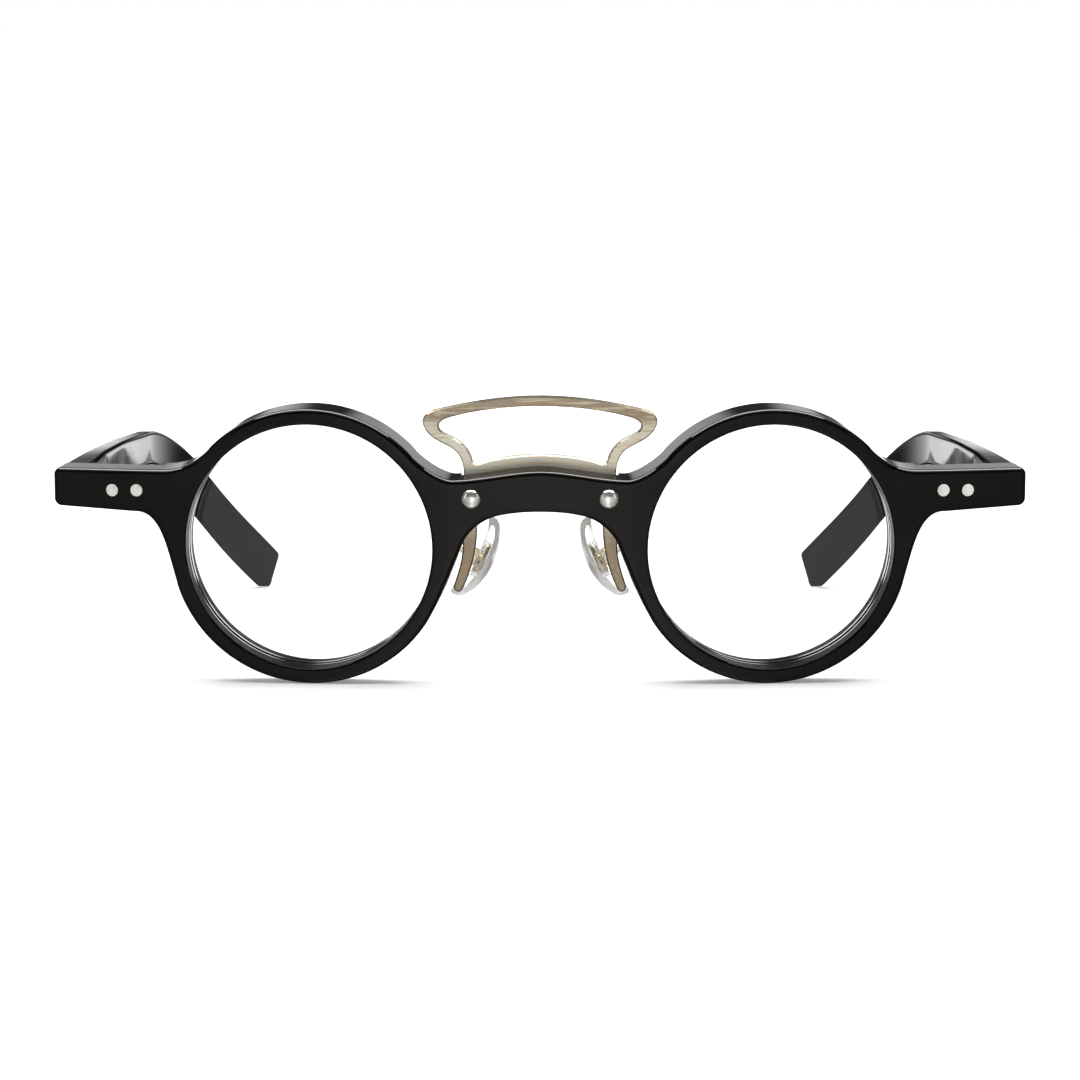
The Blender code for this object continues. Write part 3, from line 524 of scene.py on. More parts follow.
def temple_outline():
    """The temple in (along, up), from its front end over the bend to the tip and back."""
    centre = (BEND_START, BEND_TOP - BEND_RADIUS)
    end = 90 - math.degrees(BEND_ANGLE)
    cut = (TIP_LOWER - TIP_UPPER).normalized()
    down = (TIP_UPPER - Vector((121.4, 21.33)) * MM).normalized()
    back = (Vector((122.6, 11.4)) * MM - TIP_LOWER).normalized()
    upper_in = tuple(TIP_UPPER - down * TIP_CORNER)
    upper_out = tuple(TIP_UPPER + cut * TIP_CORNER)
    lower_in = tuple(TIP_LOWER - cut * TIP_CORNER)
    lower_out = tuple(TIP_LOWER + back * TIP_CORNER)
    start = TEMPLE_START / MM
    outline = bezier(*mm([(start, 31.1), (40, 31.5), (75, 30.3), (100, 30.3)]), 24)
    outline += arc(centre, BEND_RADIUS, 90, end, 28)
    outline += bezier(upper_in, tuple(TIP_UPPER), tuple(TIP_UPPER), upper_out, 8)
    outline += [upper_out]
    outline += bezier(lower_in, tuple(TIP_LOWER), tuple(TIP_LOWER), lower_out, 8)
    outline += bezier(lower_out, *mm([(122.6, 11.4), (113.8, 24.5), (100, 24.7)]), 36)
    outline += bezier(*mm([(100, 24.7), (75, 25.0), (40, 25.5), (start, 25.95)]), 20)
    return outline + mm([(start, 25.95)])


def oval_outline(length, width, count):
    """A pad's outline: an oval, fuller at the bottom."""
    points = []
    for step in range(count):
        angle = math.tau * step / count
        fullness = 1 - 0.14 * math.sin(angle)
        points.append((width / 2 * math.cos(angle) * fullness, length / 2 * math.sin(angle)))
    return points


# Temple space

def soft_ramp(value, reach):
    """Zero before the ramp, straight after it, and round between."""
    if value <= -reach:
        return 0.0
    if value >= reach:
        return value
    return (value + reach) ** 2 / (4 * reach)


def temple_inset(along):
    return 0.08 * soft_ramp(along - 78 * MM, 12 * MM) + 0.745 * soft_ramp(along - 114 * MM, 16 * MM)


def temple_thinning(along):
    """The temple's thickness there, as a share of its thickness at the hinge."""
    points = ((24 * MM, TEMPLE_THICK), (42 * MM, TEMPLE_MID_THICK), (140 * MM, TEMPLE_TIP_THICK))
    if along <= points[0][0]:
        return 1.0
    for (start, thick), (end, next_thick) in zip(points, points[1:]):
        if along <= end:
            break
    share = min(1.0, (along - start) / (end - start))
    return (thick + (next_thick - thick) * share) / TEMPLE_THICK


def on_temple(point):
    """From the flat temple's (along, depth, up) to its place, curved in to the head."""
    along, depth, up = point
    x = TEMPLE_X - temple_inset(along) - depth * temple_thinning(along)
    return Vector((x, along - MIDDLE_Y, up - GROUND_Z))


def temple_slices():
    thinning = [24 * MM + 3 * MM * step for step in range(7)]
    gentle = [66 * MM + 2.4 * MM * step for step in range(11)]
    firm = [92 * MM + 1.5 * MM * step for step in range(27)]
    return thinning + gentle + firm


# Nose pad space: X forwards across the pad, Y out of its back towards the arm, Z up its length

def pad_matrix():
    rearward = Vector((math.sin(PAD_SPLAY), math.cos(PAD_SPLAY), 0))
    rearward = (rearward - rearward.dot(PAD_UP) * PAD_UP).normalized()
    outward = rearward.cross(PAD_UP).normalized()
    rotation = Matrix((-rearward, outward, PAD_UP)).transposed().to_4x4()
    return origin_shift() @ Matrix.Translation(PAD_CENTRE) @ rotation


def pad_pivot():
    return Vector((0, PAD_THICK / 2 + PIVOT_HEIGHT, 0))


def curved_pad(point):
    """Bows the pad, so that its two ends lie further out than its middle."""
    across, out, up = point
    return Vector((across, out + PAD_SAG * (2 * up / PAD_LENGTH) ** 2, up))


def along_pivot(obj):
    """Turns a +Z solid onto the pad screw's line, in the pad's own axes."""
    return put(obj, Matrix.Translation(pad_pivot()) @ Matrix.Rotation(math.pi / 2, 4, "Y"))


# Materials

class Finish:
    """A node material with a Principled shader, built up a node at a time."""

    def __init__(self, name, **sockets):
        self.material = bpy.data.materials.new(name)
        self.material.use_nodes = True
        self.nodes = self.material.node_tree.nodes
        self.links = self.material.node_tree.links
        self.shader = self.nodes["Principled BSDF"]
        for socket, value in sockets.items():
            self.shader.inputs[socket.replace("_", " ")].default_value = value
        self.place = self.add("ShaderNodeTexCoord").outputs["Object"]

    def add(self, kind, **settings):
        node = self.nodes.new(kind)
        for key, value in settings.items():
            setattr(node, key, value)
        return node

    def mapping(self, scale, rotation=(0, 0, 0)):
        node = self.add("ShaderNodeMapping")
        node.inputs["Scale"].default_value = scale
        node.inputs["Rotation"].default_value = rotation
        self.links.new(self.place, node.inputs["Vector"])
        return node.outputs["Vector"]

    def noise(self, scale, detail=2.0, vector=None, distortion=0.0):
        node = self.add("ShaderNodeTexNoise")
        node.inputs["Scale"].default_value = scale
        node.inputs["Detail"].default_value = detail
        node.inputs["Distortion"].default_value = distortion
        self.links.new(vector or self.place, node.inputs["Vector"])
        return node.outputs["Fac"]

    def spread(self, value, low, high, start=0.3, end=0.7):
        """Spreads a value over a range."""
        node = self.add("ShaderNodeMapRange")
        node.inputs["From Min"].default_value = start
        node.inputs["From Max"].default_value = end
        node.inputs["To Min"].default_value = low
        node.inputs["To Max"].default_value = high
        self.links.new(value, node.inputs["Value"])
        return node.outputs["Result"]

    def ramp(self, value, stops):
        node = self.add("ShaderNodeValToRGB")
        band = node.color_ramp
        while len(band.elements) < len(stops):
            band.elements.new(1.0)
        for element, (place, colour) in zip(band.elements, stops):
            element.position = place
            element.color = (*colour, 1.0)
        self.links.new(value, node.inputs["Fac"])
        return node.outputs["Color"]

    def maths(self, operation, first, second):
        node = self.add("ShaderNodeMath", operation=operation)
        for socket, value in zip(node.inputs, (first, second)):
            if isinstance(value, (int, float)):
                socket.default_value = value
            else:
                self.links.new(value, socket)
        return node.outputs[0]

    def mix(self, share, first, second):
        node = self.add("ShaderNodeMix", data_type="RGBA")
        self.links.new(share, node.inputs["Factor"])
        self.links.new(first, node.inputs[6])
        self.links.new(second, node.inputs[7])
        return node.outputs[2]

    def height(self, value, strength, distance, below=None):
        node = self.add("ShaderNodeBump")
        node.inputs["Strength"].default_value = strength
        node.inputs["Distance"].default_value = distance
        self.links.new(value, node.inputs["Height"])
        if below is not None:
            self.links.new(below, node.inputs["Normal"])
        return node.outputs["Normal"]

    def feed(self, socket, value):
        self.links.new(value, self.shader.inputs[socket])
        return self


def acetate_finish(look):
    """Polished black acetate: soft polishing waves, hairline scratches and a little bloom in the gloss."""
    tint = (1.0, 0.92, 0.85, 1.0)
    finish = Finish("polished black acetate", IOR=1.49, Specular_IOR_Level=0.20, Specular_Tint=tint)
    black = tuple(look.acetate)
    lifted = tuple(min(1.0, channel * 2.2 + 0.001) for channel in black)
    finish.feed("Base Color", finish.ramp(finish.noise(90, 3), [(0.35, black), (0.75, lifted)]))
    cloud = finish.spread(finish.noise(160, 4), look.gloss, look.gloss + 0.05)
    hairs = finish.noise(900, 2, finish.mapping((1.0, 0.12, 0.6), (0.3, 0.5, 0.2)))
    finish.feed("Roughness", finish.maths("ADD", cloud, finish.spread(hairs, 0.0, 0.05, 0.62, 0.8)))
    waves = finish.height(finish.noise(45, 1), 0.10, 0.02 * MM)
    finish.feed("Normal", finish.height(hairs, 0.03, 0.01 * MM, waves))
    return finish.material


def wall_finish(look):
    """Acetate as the milling cutter leaves it, with fine turned lines."""
    finish = Finish("cut black acetate", IOR=1.45, Specular_IOR_Level=0.06)
    black = tuple(look.acetate)
    lines = finish.noise(1500, 3)
    lifted = tuple(3 * channel for channel in black)
    finish.feed("Base Color", finish.ramp(lines, [(0.35, black), (0.75, lifted)]))
    finish.feed("Roughness", finish.spread(lines, 0.28, 0.42))
    finish.feed("Normal", finish.height(lines, 0.1, 0.01 * MM))
    return finish.material


def metal_finish(name, colour, shadow, roughness, lines, bump=0.12, metallic=1.0, grain=900):
    """A brushed or polished metal: drawn lines one way, a slow change of tone, and worn patches."""
    finish = Finish(name, Metallic=metallic)
    brushed = finish.noise(grain, 3, finish.mapping(lines))
    slow = finish.noise(240, 3, None, 0.4)
    tone = finish.maths("ADD", finish.maths("MULTIPLY", brushed, 0.6), finish.maths("MULTIPLY", slow, 0.4))
    finish.feed("Base Color", finish.ramp(tone, [(0.36, shadow), (0.62, colour)]))
    finish.feed("Roughness", finish.spread(tone, roughness - 0.06, roughness + 0.1))
    finish.feed("Normal", finish.height(brushed, bump, 0.02 * MM))
    return finish.material


def plate_finish(look):
    """Antique gold: brushed along the upper bar, brushed across the legs; the upper bar and the lower legs
    are darkened with painted shade, and faces turned upwards are blackened with a painted dark reflection.
    """
    finish = Finish("brushed antique gold", Metallic=1.0)
    gold = tuple(look.gold)
    # painted shade: these darker golds colour the upper bar and the lower legs as if they lay in shade
    painted_shade_gold = tuple(channel * 0.42 for channel in gold)
    pale = tuple(min(1.0, channel * 1.55) for channel in gold)
    painted_shade_brown = tuple(channel * share for channel, share in zip(gold, (0.50, 0.43, 0.36)))
    tan = tuple(channel * share for channel, share in zip(gold, (0.78, 0.70, 0.58)))
    drawn = finish.noise(3800, 3, finish.mapping((0.03, 1.0, 1.0), (0, math.radians(5), 0)))
    matte = finish.noise(1800, 4)
    split = finish.add("ShaderNodeSeparateXYZ")
    finish.links.new(finish.place, split.inputs["Vector"])
    # masks of the upper bar and of the lower legs, where the painted shade goes
    bar = finish.spread(split.outputs["Z"], 0.0, 1.0, 36.8 * MM, 38.6 * MM)
    low = finish.spread(split.outputs["Z"], 0.0, 1.0, 25.5 * MM, 20.5 * MM)
    leg_colour = finish.ramp(drawn, [(0.34, tan), (0.44, gold), (0.62, pale)])
    # painted shade: shaded copies of the gold for the upper bar and the lower legs
    shaded_bar_colour = finish.ramp(drawn, [(0.36, painted_shade_gold), (0.50, painted_shade_brown), (0.66, gold)])
    shaded_low_colour = finish.ramp(matte, [(0.30, painted_shade_gold), (0.55, painted_shade_brown), (0.80, tan)])
    colour = finish.mix(low, finish.mix(bar, leg_colour, shaded_bar_colour), shaded_low_colour)
    # painted dark reflection: faces turned upwards are blackened by their normal, most strongly on the
    # upper bar and at 0.6 elsewhere
    facing = finish.add("ShaderNodeNewGeometry")
    upright = finish.add("ShaderNodeSeparateXYZ")
    finish.links.new(facing.outputs["Normal"], upright.inputs["Vector"])
    painted_dark_reflection_mask = finish.spread(upright.outputs["Z"], 0.0, 0.97, 0.50, 0.62)
    painted_dark_reflection = finish.maths("MULTIPLY", painted_dark_reflection_mask, finish.maths("MAXIMUM", bar, 0.6))
    # near-black colour of the painted dark reflection
    black = finish.ramp(matte, [(0.3, (0.004, 0.004, 0.003)), (0.8, (0.03, 0.025, 0.018))])
    finish.feed("Base Color", finish.mix(painted_dark_reflection, colour, black))
    lines = finish.mix(low, drawn, matte)
    finish.feed("Roughness", finish.spread(lines, 0.30, 0.50))
    finish.feed("Normal", finish.height(lines, 0.22, 0.02 * MM))
    return finish.material


def see_through(finish, tint):
    """Lets the background through, with a reflection that grows towards the edge of the view."""
    clear = finish.add("ShaderNodeBsdfTransparent")
    clear.inputs["Color"].default_value = (*tint, 1.0)
    fresnel = finish.add("ShaderNodeFresnel")
    fresnel.inputs["IOR"].default_value = GLASS_IOR
    mixer = finish.add("ShaderNodeMixShader")
    finish.links.new(fresnel.outputs["Fac"], mixer.inputs["Fac"])
    finish.links.new(clear.outputs["BSDF"], mixer.inputs[1])
    finish.links.new(finish.shader.outputs["BSDF"], mixer.inputs[2])
    output = finish.nodes["Material Output"]
    finish.links.new(mixer.outputs["Shader"], output.inputs["Surface"])
    return finish.material


def lens_finish(look):
    """A thin clear lens with a faint coating."""
    finish = Finish("clear lens", Metallic=1.0)
    smears = finish.noise(60, 3)
    finish.feed("Base Color", finish.ramp(smears, [(0.3, (0.92, 0.92, 0.92)), (0.7, (0.98, 0.98, 0.98))]))
    finish.feed("Roughness", finish.spread(smears, 0.0, 0.03))
    return see_through(finish, tuple(look.lens))


def pad_finish(look):
    """Clear silicone that greys a little where it is looked at edge-on."""
    finish = Finish("clear soft plastic", IOR=1.42)
    cloud = finish.noise(400, 3)
    finish.feed("Base Color", finish.ramp(cloud, [(0.3, (0.84, 0.84, 0.83)), (0.7, (0.92, 0.92, 0.91))]))
    finish.feed("Roughness", finish.spread(cloud, 0.10, 0.2))
    finish.feed("Normal", finish.height(finish.noise(700, 2), 0.08, 0.02 * MM))
    return see_through(finish, tuple(look.pad))


def floor_finish(look):
    """A plain pale table."""
    finish = Finish("pale table", Specular_IOR_Level=0.1)
    pale = tuple(look.floor)
    shade_of = tuple(channel * 0.995 for channel in pale)
    finish.feed("Base Color", finish.ramp(finish.noise(3, 1), [(0.3, shade_of), (0.7, pale)]))
    finish.shader.inputs["Roughness"].default_value = 0.9
    finish.shader.inputs["Emission Color"].default_value = (1.0, 1.0, 1.0, 1.0)
    finish.shader.inputs["Emission Strength"].default_value = 0.25
    return finish.material


def coat(obj, material):
    """Gives the piece this finish, apart from faces that already have another."""
    if len(obj.data.materials) > 1:
        obj.data.materials[0] = material
        return obj
    obj.data.materials.clear()
    obj.data.materials.append(material)
    return obj


def deliver(obj, material, body, slot, *nodes, angle=32):
    """Gives the finished piece its material, its body and the plain nodes it stands for."""
    shade(obj, angle)
    coat(obj, material)
    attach(obj, body)
    if nodes:
        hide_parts(*nodes)
    return obj


def pair(obj, material, body, slot, node, angle=32):
    """The left piece and its mirrored right one; body and node end in the side they are on."""
    other = mirrored(obj, obj.name.replace("_left", "_right"))
    deliver(obj, material, body, slot, node, angle=angle)
    right_body = body.replace("_left", "_right")
    deliver(other, material, right_body, slot, node.replace("_left", "_right"), angle=angle)


# Settings

def colour_setting(name, description, default):
    return FloatVectorProperty(
        name=name, description=description, subtype="COLOR", size=3, min=0, max=1, default=default
    )


def edge_setting(name, description, default, low, high):
    return FloatProperty(
        name=name, description=description, default=default * MM, min=low * MM, max=high * MM, unit="LENGTH"
    )


class LookSettings(bpy.types.PropertyGroup):
    acetate: colour_setting("Acetate", "Colour of the front and temples", (0.0018, 0.0018, 0.0018))
    gloss: FloatProperty(
        name="Acetate roughness", description="How soft the acetate's reflections are",
        min=0, max=1, default=0.035, subtype="FACTOR",
    )
    gold: colour_setting("Bridge gold", "Colour of the bridge plate and the pad arms", (0.85, 0.74, 0.57))
    silver: colour_setting("Rivet metal", "Colour of the rivets", (0.95, 0.93, 0.87))
    steel: colour_setting("Hinge metal", "Colour of the hinges and their screws", (0.62, 0.58, 0.52))
    lens: colour_setting("Lens tint", "What the lens lets through", (0.995, 0.998, 0.997))
    pad: colour_setting("Pad tint", "What the nose pads let through", (0.965, 0.965, 0.96))
    floor: colour_setting("Table", "Colour of the table", (0.90, 0.90, 0.90))


class SizeSettings(bpy.types.PropertyGroup):
    front_edge: edge_setting("Front edge", "Radius of the front's rounded edges", 0.7, 0.2, 1.5)
    temple_edge: edge_setting("Temple edge", "Radius of the temples' rounded edges", 0.9, 0.2, 1.5)
    rim_edge: edge_setting("Rim edge", "Radius of the rounded edge round each lens", 0.4, 0.1, 0.8)
    plate_edge: edge_setting("Plate edge", "Width of the bridge plate's bright edge", 0.2, 0.05, 0.4)
    rim_steps: IntProperty(
        name="Rim steps", description="Steps round each lens opening", default=144, min=48, max=256,
    )


# Front

def rim_cutter(sizes):
    """Clears a lens opening: rounded edges and a V groove for the lens."""
    edge = sizes.rim_edge
    groove = RIM_INNER + GROOVE_DEPTH
    front = round_edge(RIM_INNER + edge, -edge, edge, 95, 180, 7)
    back = round_edge(RIM_INNER + edge, edge - FRONT_THICK, edge, 180, 265, 7)
    profile = [(0, 1 * MM), (front[0][0], 1 * MM)] + front
    profile += [(RIM_INNER, V_HALF - LENS_V), (groove, -LENS_V), (RIM_INNER, -LENS_V - V_HALF)]
    profile += back + [(back[-1][0], -FRONT_THICK - 1 * MM), (0, -FRONT_THICK - 1 * MM)]
    return spun("rim_cutter", profile, sizes.rim_steps)


def through_hole(across, up, radius):
    hole = rod("hole", radius, -FRONT_THICK - 3 * MM, 2 * MM)
    return put(hole, flat_place(across, up))


def front_cutters(sizes):
    depth = 1 * MM + FRONT_THICK - SEAT_THICK
    upper = [(0, 38), (11.6, 38), (11.6, 28), (12.4, 25.5)]
    lower = [(12.5, 21), (12.9, 17.5), (13.4, 15), (13.4, 12.4), (0, 12.4)]
    bed = sheet_outline("plate_bed", [both_halves(mm(upper + lower))], depth, 0, 0)
    put(bed, Matrix.Translation((0, SEAT_THICK, 0)))
    cutters = [bed]
    for side in (1, -1):
        near = side * ENDPIECE_SEAT
        far = side * 80 * MM
        low = (min(near, far), SEAT_THICK, 22 * MM)
        cutters.append(block("hinge_seat", low, (max(near, far), SEAT_THICK + depth, 34 * MM)))
        cutters.append(put(rim_cutter(sizes), flat_place(side * LENS_X, LENS_Z)))
        cutters.append(through_hole(side * STUD.x, STUD.z, STUD_SHANK + HOLE_GAP))
        for across, up in RIVET_POSITIONS.values():
            cutters.append(through_hole(side * across, up, RIVET_HEAD + 0.02 * MM))
    return cutters


def matt_walls(front, edge):
    """Leaves the lens openings' inner walls as the cutter left them, unpolished."""
    front.data.materials.append(MATERIALS["acetate"])
    front.data.materials.append(MATERIALS["cut wall"])
    for face in front.data.polygons:
        out = math.hypot(abs(face.center.x) - LENS_X, face.center.z - LENS_Z)
        if out < RIM_INNER + GROOVE_DEPTH and 0.9 * edge < face.center.y < FRONT_THICK - 0.9 * edge:
            face.material_index = 1


class EYEWEAR_OT_front(bpy.types.Operator):
    """Cuts the acetate front, mills its seats, wraps it round the face and polishes it"""

    bl_idname = "eyewear.front"
    bl_label = "Acetate front"

    def execute(self, context):
        sizes = context.scene.eyewear_sizes
        outline = both_halves(front_half_outline())
        front = sheet_outline("acetate_front", [outline], FRONT_THICK, sizes.front_edge, 5)
        combine(front, front_cutters(sizes))
        slice_at(front, 0, bend_lines())
        matt_walls(front, sizes.rim_edge)
        bend(front, on_front)
        deliver(front, MATERIALS["acetate"], "front", "black_acetate", "front_frame")
        return {"FINISHED"}


def lens_profile():
    """A curved lens from the middle of its front, round its V edge, to the middle of its back."""
    sag = (RIM_INNER - LENS_GAP) ** 2 / (2 * LENS_BASE)
    rim_radius = RIM_INNER - LENS_GAP
    steps = 16
    radii = [rim_radius * step / steps for step in range(steps + 1)]
    front = [(radius, sag - LENS_FRONT - radius ** 2 / (2 * LENS_BASE)) for radius in radii]
    edge = [(rim_radius, V_HALF - LENS_V), (rim_radius + GROOVE_DEPTH, -LENS_V)]
    edge += [(rim_radius, -LENS_V - V_HALF)]
    return front + edge + [(radius, height - LENS_THICK) for radius, height in reversed(front)]


class EYEWEAR_OT_lenses(bpy.types.Operator):
    """Grinds the two lenses with their V edges"""

    bl_idname = "eyewear.lenses"
    bl_label = "Lenses"

    def execute(self, context):
        lens = spun("glazing_left", lens_profile(), context.scene.eyewear_sizes.rim_steps)
        put(lens, front_matrix(LENS_X, 0, LENS_Z) @ facing_back())
        pair(lens, MATERIALS["lens"], "front", "clear_lens", "lens_left")
        return {"FINISHED"}


# Bridge plate and rivets

class EYEWEAR_OT_plate(bpy.types.Operator):
    """Cuts the metal double bridge, breaks its edges and sets it behind the front"""

    bl_idname = "eyewear.plate"
    bl_label = "Bridge plate"

    def execute(self, context):
        edge = context.scene.eyewear_sizes.plate_edge
        outlines = [both_halves(plate_half_outline()), both_halves(plate_opening_half())]
        plate = sheet_outline("brushed_bridge", outlines, PLATE_THICK, edge, 0)
        put(plate, Matrix.Translation((0, SEAT_THICK + PLATE_GAP, 0)))
        combine(plate, [through_hole(side * STUD.x, STUD.z, STUD_SHANK + HOLE_GAP) for side in (1, -1)])
        slice_at(plate, 0, bend_lines())
        bend(plate, on_front)
        deliver(plate, MATERIALS["gold"], "front", "antique_gold", "bridge_plate")
        return {"FINISHED"}


def stud_profile():
    """A domed head on a shank, with a flat tail behind the plate."""
    face = HOLE_GAP
    tail = -SEAT_THICK - PLATE_GAP - PLATE_THICK - HOLE_GAP
    profile = [(0, face + STUD_DOME)]
    for step in range(1, 15):
        angle = math.radians(84 * step / 14)
        profile.append((STUD_HEAD * math.sin(angle), face + STUD_DOME * math.cos(angle)))
    profile += [(STUD_HEAD, face), (STUD_SHANK, face), (STUD_SHANK, tail)]
    return profile + tail_profile(tail)


def tail_profile(tail):
    """A peened tail with a rounded rim."""
    edge = 0.12 * MM
    rim = round_edge(TAIL_HEAD - edge, tail - TAIL_THICK + edge, edge, 0, -90, 4)
    return [(TAIL_HEAD, tail)] + rim + [(0, tail - TAIL_THICK)]


def flush_profile(head, shank_end, leaf_end):
    """A flush rivet: a flat disc with a turned ring near its rounded edge, a shank and a tail."""
    neck = 0.75 * head
    ring = 0.70 * head
    land = 0.045 * MM
    profile = [(0, 0.055 * MM), (ring - 0.05 * MM, land), (ring, 0.01 * MM), (ring + 0.05 * MM, land)]
    profile += round_edge(head - 0.09 * MM, -0.04 * MM, 0.09 * MM, 90, 0, 5)
    profile += [(head, shank_end), (neck, shank_end), (neck, leaf_end - HOLE_GAP)]
    return profile + tail_profile(leaf_end - HOLE_GAP)


class EYEWEAR_OT_studs(bpy.types.Operator):
    """Turns the domed studs that clamp the bridge plate, and the flush rivets of the endpieces"""

    bl_idname = "eyewear.studs"
    bl_label = "Studs and endpiece rivets"

    def execute(self, context):
        stud = spun("domed_stud_left", stud_profile(), 64)
        put(stud, front_matrix(STUD.x, 0, STUD.z) @ facing_back())
        pair(stud, MATERIALS["silver"], "front", "silver", "bridge_stud_left")
        leaf_end = -SEAT_THICK - HOLE_GAP - LEAF_THICK
        for place, (across, up) in RIVET_POSITIONS.items():
            profile = flush_profile(RIVET_HEAD, -SEAT_THICK, leaf_end)
            rivet = spun(f"flush_rivet_{place}_left", profile, 56)
            put(rivet, front_matrix(across, 0, up) @ facing_back())
            pair(rivet, MATERIALS["flush"], "front", "silver", f"endpiece_rivet_{place}_left")
        return {"FINISHED"}


# Hinges

def hinge_place():
    return origin_shift() @ Matrix.Translation((HINGE_X, HINGE_Y, 0))


def knuckle(step):
    """One barrel of the hinge, with broken edges."""
    low = BARREL_STEPS[step] + BARREL_GAP
    high = BARREL_STEPS[step + 1] - BARREL_GAP
    edge = 0.12 * MM
    profile = [(0, high)] + round_edge(BARREL - edge, high - edge, edge, 90, 0, 4)
    profile += round_edge(BARREL - edge, low + edge, edge, 0, -90, 4) + [(0, low)]
    return put(spun("knuckle", profile, 56), hinge_place())


def screw_bore():
    bore = rod("bore", SCREW_RADIUS + BARREL_GAP, BARREL_STEPS[0] - 1 * MM, BARREL_STEPS[3] + 1 * MM)
    return put(bore, hinge_place())


def front_leaf():
    behind = SEAT_THICK + HOLE_GAP
    low = (55.9 * MM, behind, 25.3 * MM)
    leaf = block("hinge_leaf_left", low, (66.3 * MM, behind + LEAF_THICK, 29.7 * MM))
    soften(leaf, 0.14 * MM)
    slice_at(leaf, 0, bend_lines())
    bend(leaf, on_front)
    pieces = []
    for step in (0, 2):
        low = (HINGE_X - 1.0 * MM, HINGE_Y - 1.95 * MM, BARREL_STEPS[step] + NECK_INSET)
        high = (HINGE_X + 0.3 * MM, HINGE_Y - 0.7 * MM, BARREL_STEPS[step + 1] - NECK_INSET)
        pieces.append(put(block("neck", low, high), origin_shift()))
        pieces.append(knuckle(step))
    combine(leaf, pieces, "UNION")
    bores = [screw_bore()]
    for across, up in RIVET_POSITIONS.values():
        bore = rod("bore", 0.75 * RIVET_HEAD + HOLE_GAP, -1.5 * MM, 1.5 * MM)
        bores.append(put(bore, front_matrix(across, behind + LEAF_THICK / 2, up) @ facing_back()))
    return combine(leaf, bores)


def temple_leaf():
    inner = TEMPLE_X - TEMPLE_THICK - HOLE_GAP
    low = (inner - LEAF_THICK, 13.8 * MM, 26.3 * MM)
    leaf = put(block("temple_leaf_left", low, (inner, 24.0 * MM, 30.3 * MM)), origin_shift())
    soften(leaf, 0.14 * MM)
    neck_low = (inner - LEAF_THICK, HINGE_Y + 0.3 * MM, BARREL_STEPS[1] + NECK_INSET)
    neck_high = (inner, 14.8 * MM, BARREL_STEPS[2] - NECK_INSET)
    neck = put(block("neck", neck_low, neck_high), origin_shift())
    combine(leaf, [knuckle(1), neck], "UNION")
    bores = [screw_bore()]
    for along in TEMPLE_RIVETS.values():
        bore = rod("bore", 0.75 * TEMPLE_RIVET + HOLE_GAP, -1.5 * MM, 1.5 * MM)
        place = Matrix.Translation((inner - LEAF_THICK / 2, along, TEMPLE_RIVET_Z))
        bores.append(put(bore, origin_shift() @ place @ Matrix.Rotation(math.pi / 2, 4, "Y")))
    return combine(leaf, bores)


def slotted(obj, width, depth, top, turn):
    """Mills a screwdriver slot across a head that points along Z."""
    slot = block("driver_slot", (-width / 2, -2 * MM, top - depth), (width / 2, 2 * MM, top + 1 * MM))
    put(slot, Matrix.Rotation(turn, 4, "Z"))
    return combine(obj, [slot])


def hinge_screw():
    top = BARREL_STEPS[3] + SCREW_HEAD_THICK
    edge = 0.14 * MM
    profile = [(0, top)] + round_edge(SCREW_HEAD - edge, top - edge, edge, 90, 0, 5)
    profile += [(SCREW_HEAD, BARREL_STEPS[3] + BARREL_GAP), (SCREW_RADIUS, BARREL_STEPS[3] + BARREL_GAP)]
    profile += [(SCREW_RADIUS, BARREL_STEPS[0] + 0.08 * MM), (SCREW_RADIUS - 0.1 * MM, BARREL_STEPS[0])]
    profile += [(0, BARREL_STEPS[0])]
    screw = slotted(spun("pivot_screw_left", profile, 48), 0.28 * MM, 0.25 * MM, top, math.radians(24))
    return put(screw, hinge_place())


class EYEWEAR_OT_hinges(bpy.types.Operator):
    """Makes the leaves, barrels and slotted screws of both hinges"""

    bl_idname = "eyewear.hinges"
    bl_label = "Hinges"

    def execute(self, context):
        pair(front_leaf(), MATERIALS["steel"], "front", "hinge_steel", "front_hinge_left")
        pair(temple_leaf(), MATERIALS["steel"], "temple_left", "hinge_steel", "temple_hinge_left")
        pair(hinge_screw(), MATERIALS["screw"], "front", "hinge_steel", "hinge_screw_left")
        for side in ("left", "right"):
            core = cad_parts[f"temple_core_{side}"]
            coat(core, MATERIALS["core"])
        return {"FINISHED"}


# Temples

def flat_temple(sizes):
    """The temple before it is curved, in (along, depth, up), with depth from its outer face inwards."""
    temple = sheet_outline("acetate_temple_left", [temple_outline()], TEMPLE_THICK, sizes.temple_edge, 5)
    notch_depth = TEMPLE_X - NOTCH_X
    cutters = [block("notch", (0, notch_depth, 20 * MM), (NOTCH_Y, TEMPLE_THICK + 2 * MM, 36 * MM))]
    bore = rod("core_bore", CORE_BORE, TEMPLE_START - 2 * MM, TEMPLE_START + 8 * MM, 32)
    lengthwise = Matrix.Rotation(math.pi / 2, 4, "Y")
    cutters.append(put(bore, Matrix.Translation((0, CORE_DEPTH, CORE_Z)) @ lengthwise))
    for along in TEMPLE_RIVETS.values():
        hole = rod("hole", TEMPLE_RIVET + 0.02 * MM, -TEMPLE_THICK - 2 * MM, 2 * MM)
        cutters.append(put(hole, flat_place(along, TEMPLE_RIVET_Z)))
    return combine(temple, cutters)


def trim_butt(temple):
    """Cuts the temple's front end to lie flat against the endpiece's back."""
    point = on_front((66 * MM, SEAT_THICK + BUTT_GAP, 28 * MM))
    normal = front_matrix(66 * MM, 0, 28 * MM).to_3x3() @ Vector((0, 1, 0))
    edit(temple)
    bpy.ops.mesh.bisect(plane_co=point, plane_no=normal, use_fill=True, clear_inner=True, threshold=1e-8)
    done_editing()
    return tidy_mesh(temple)


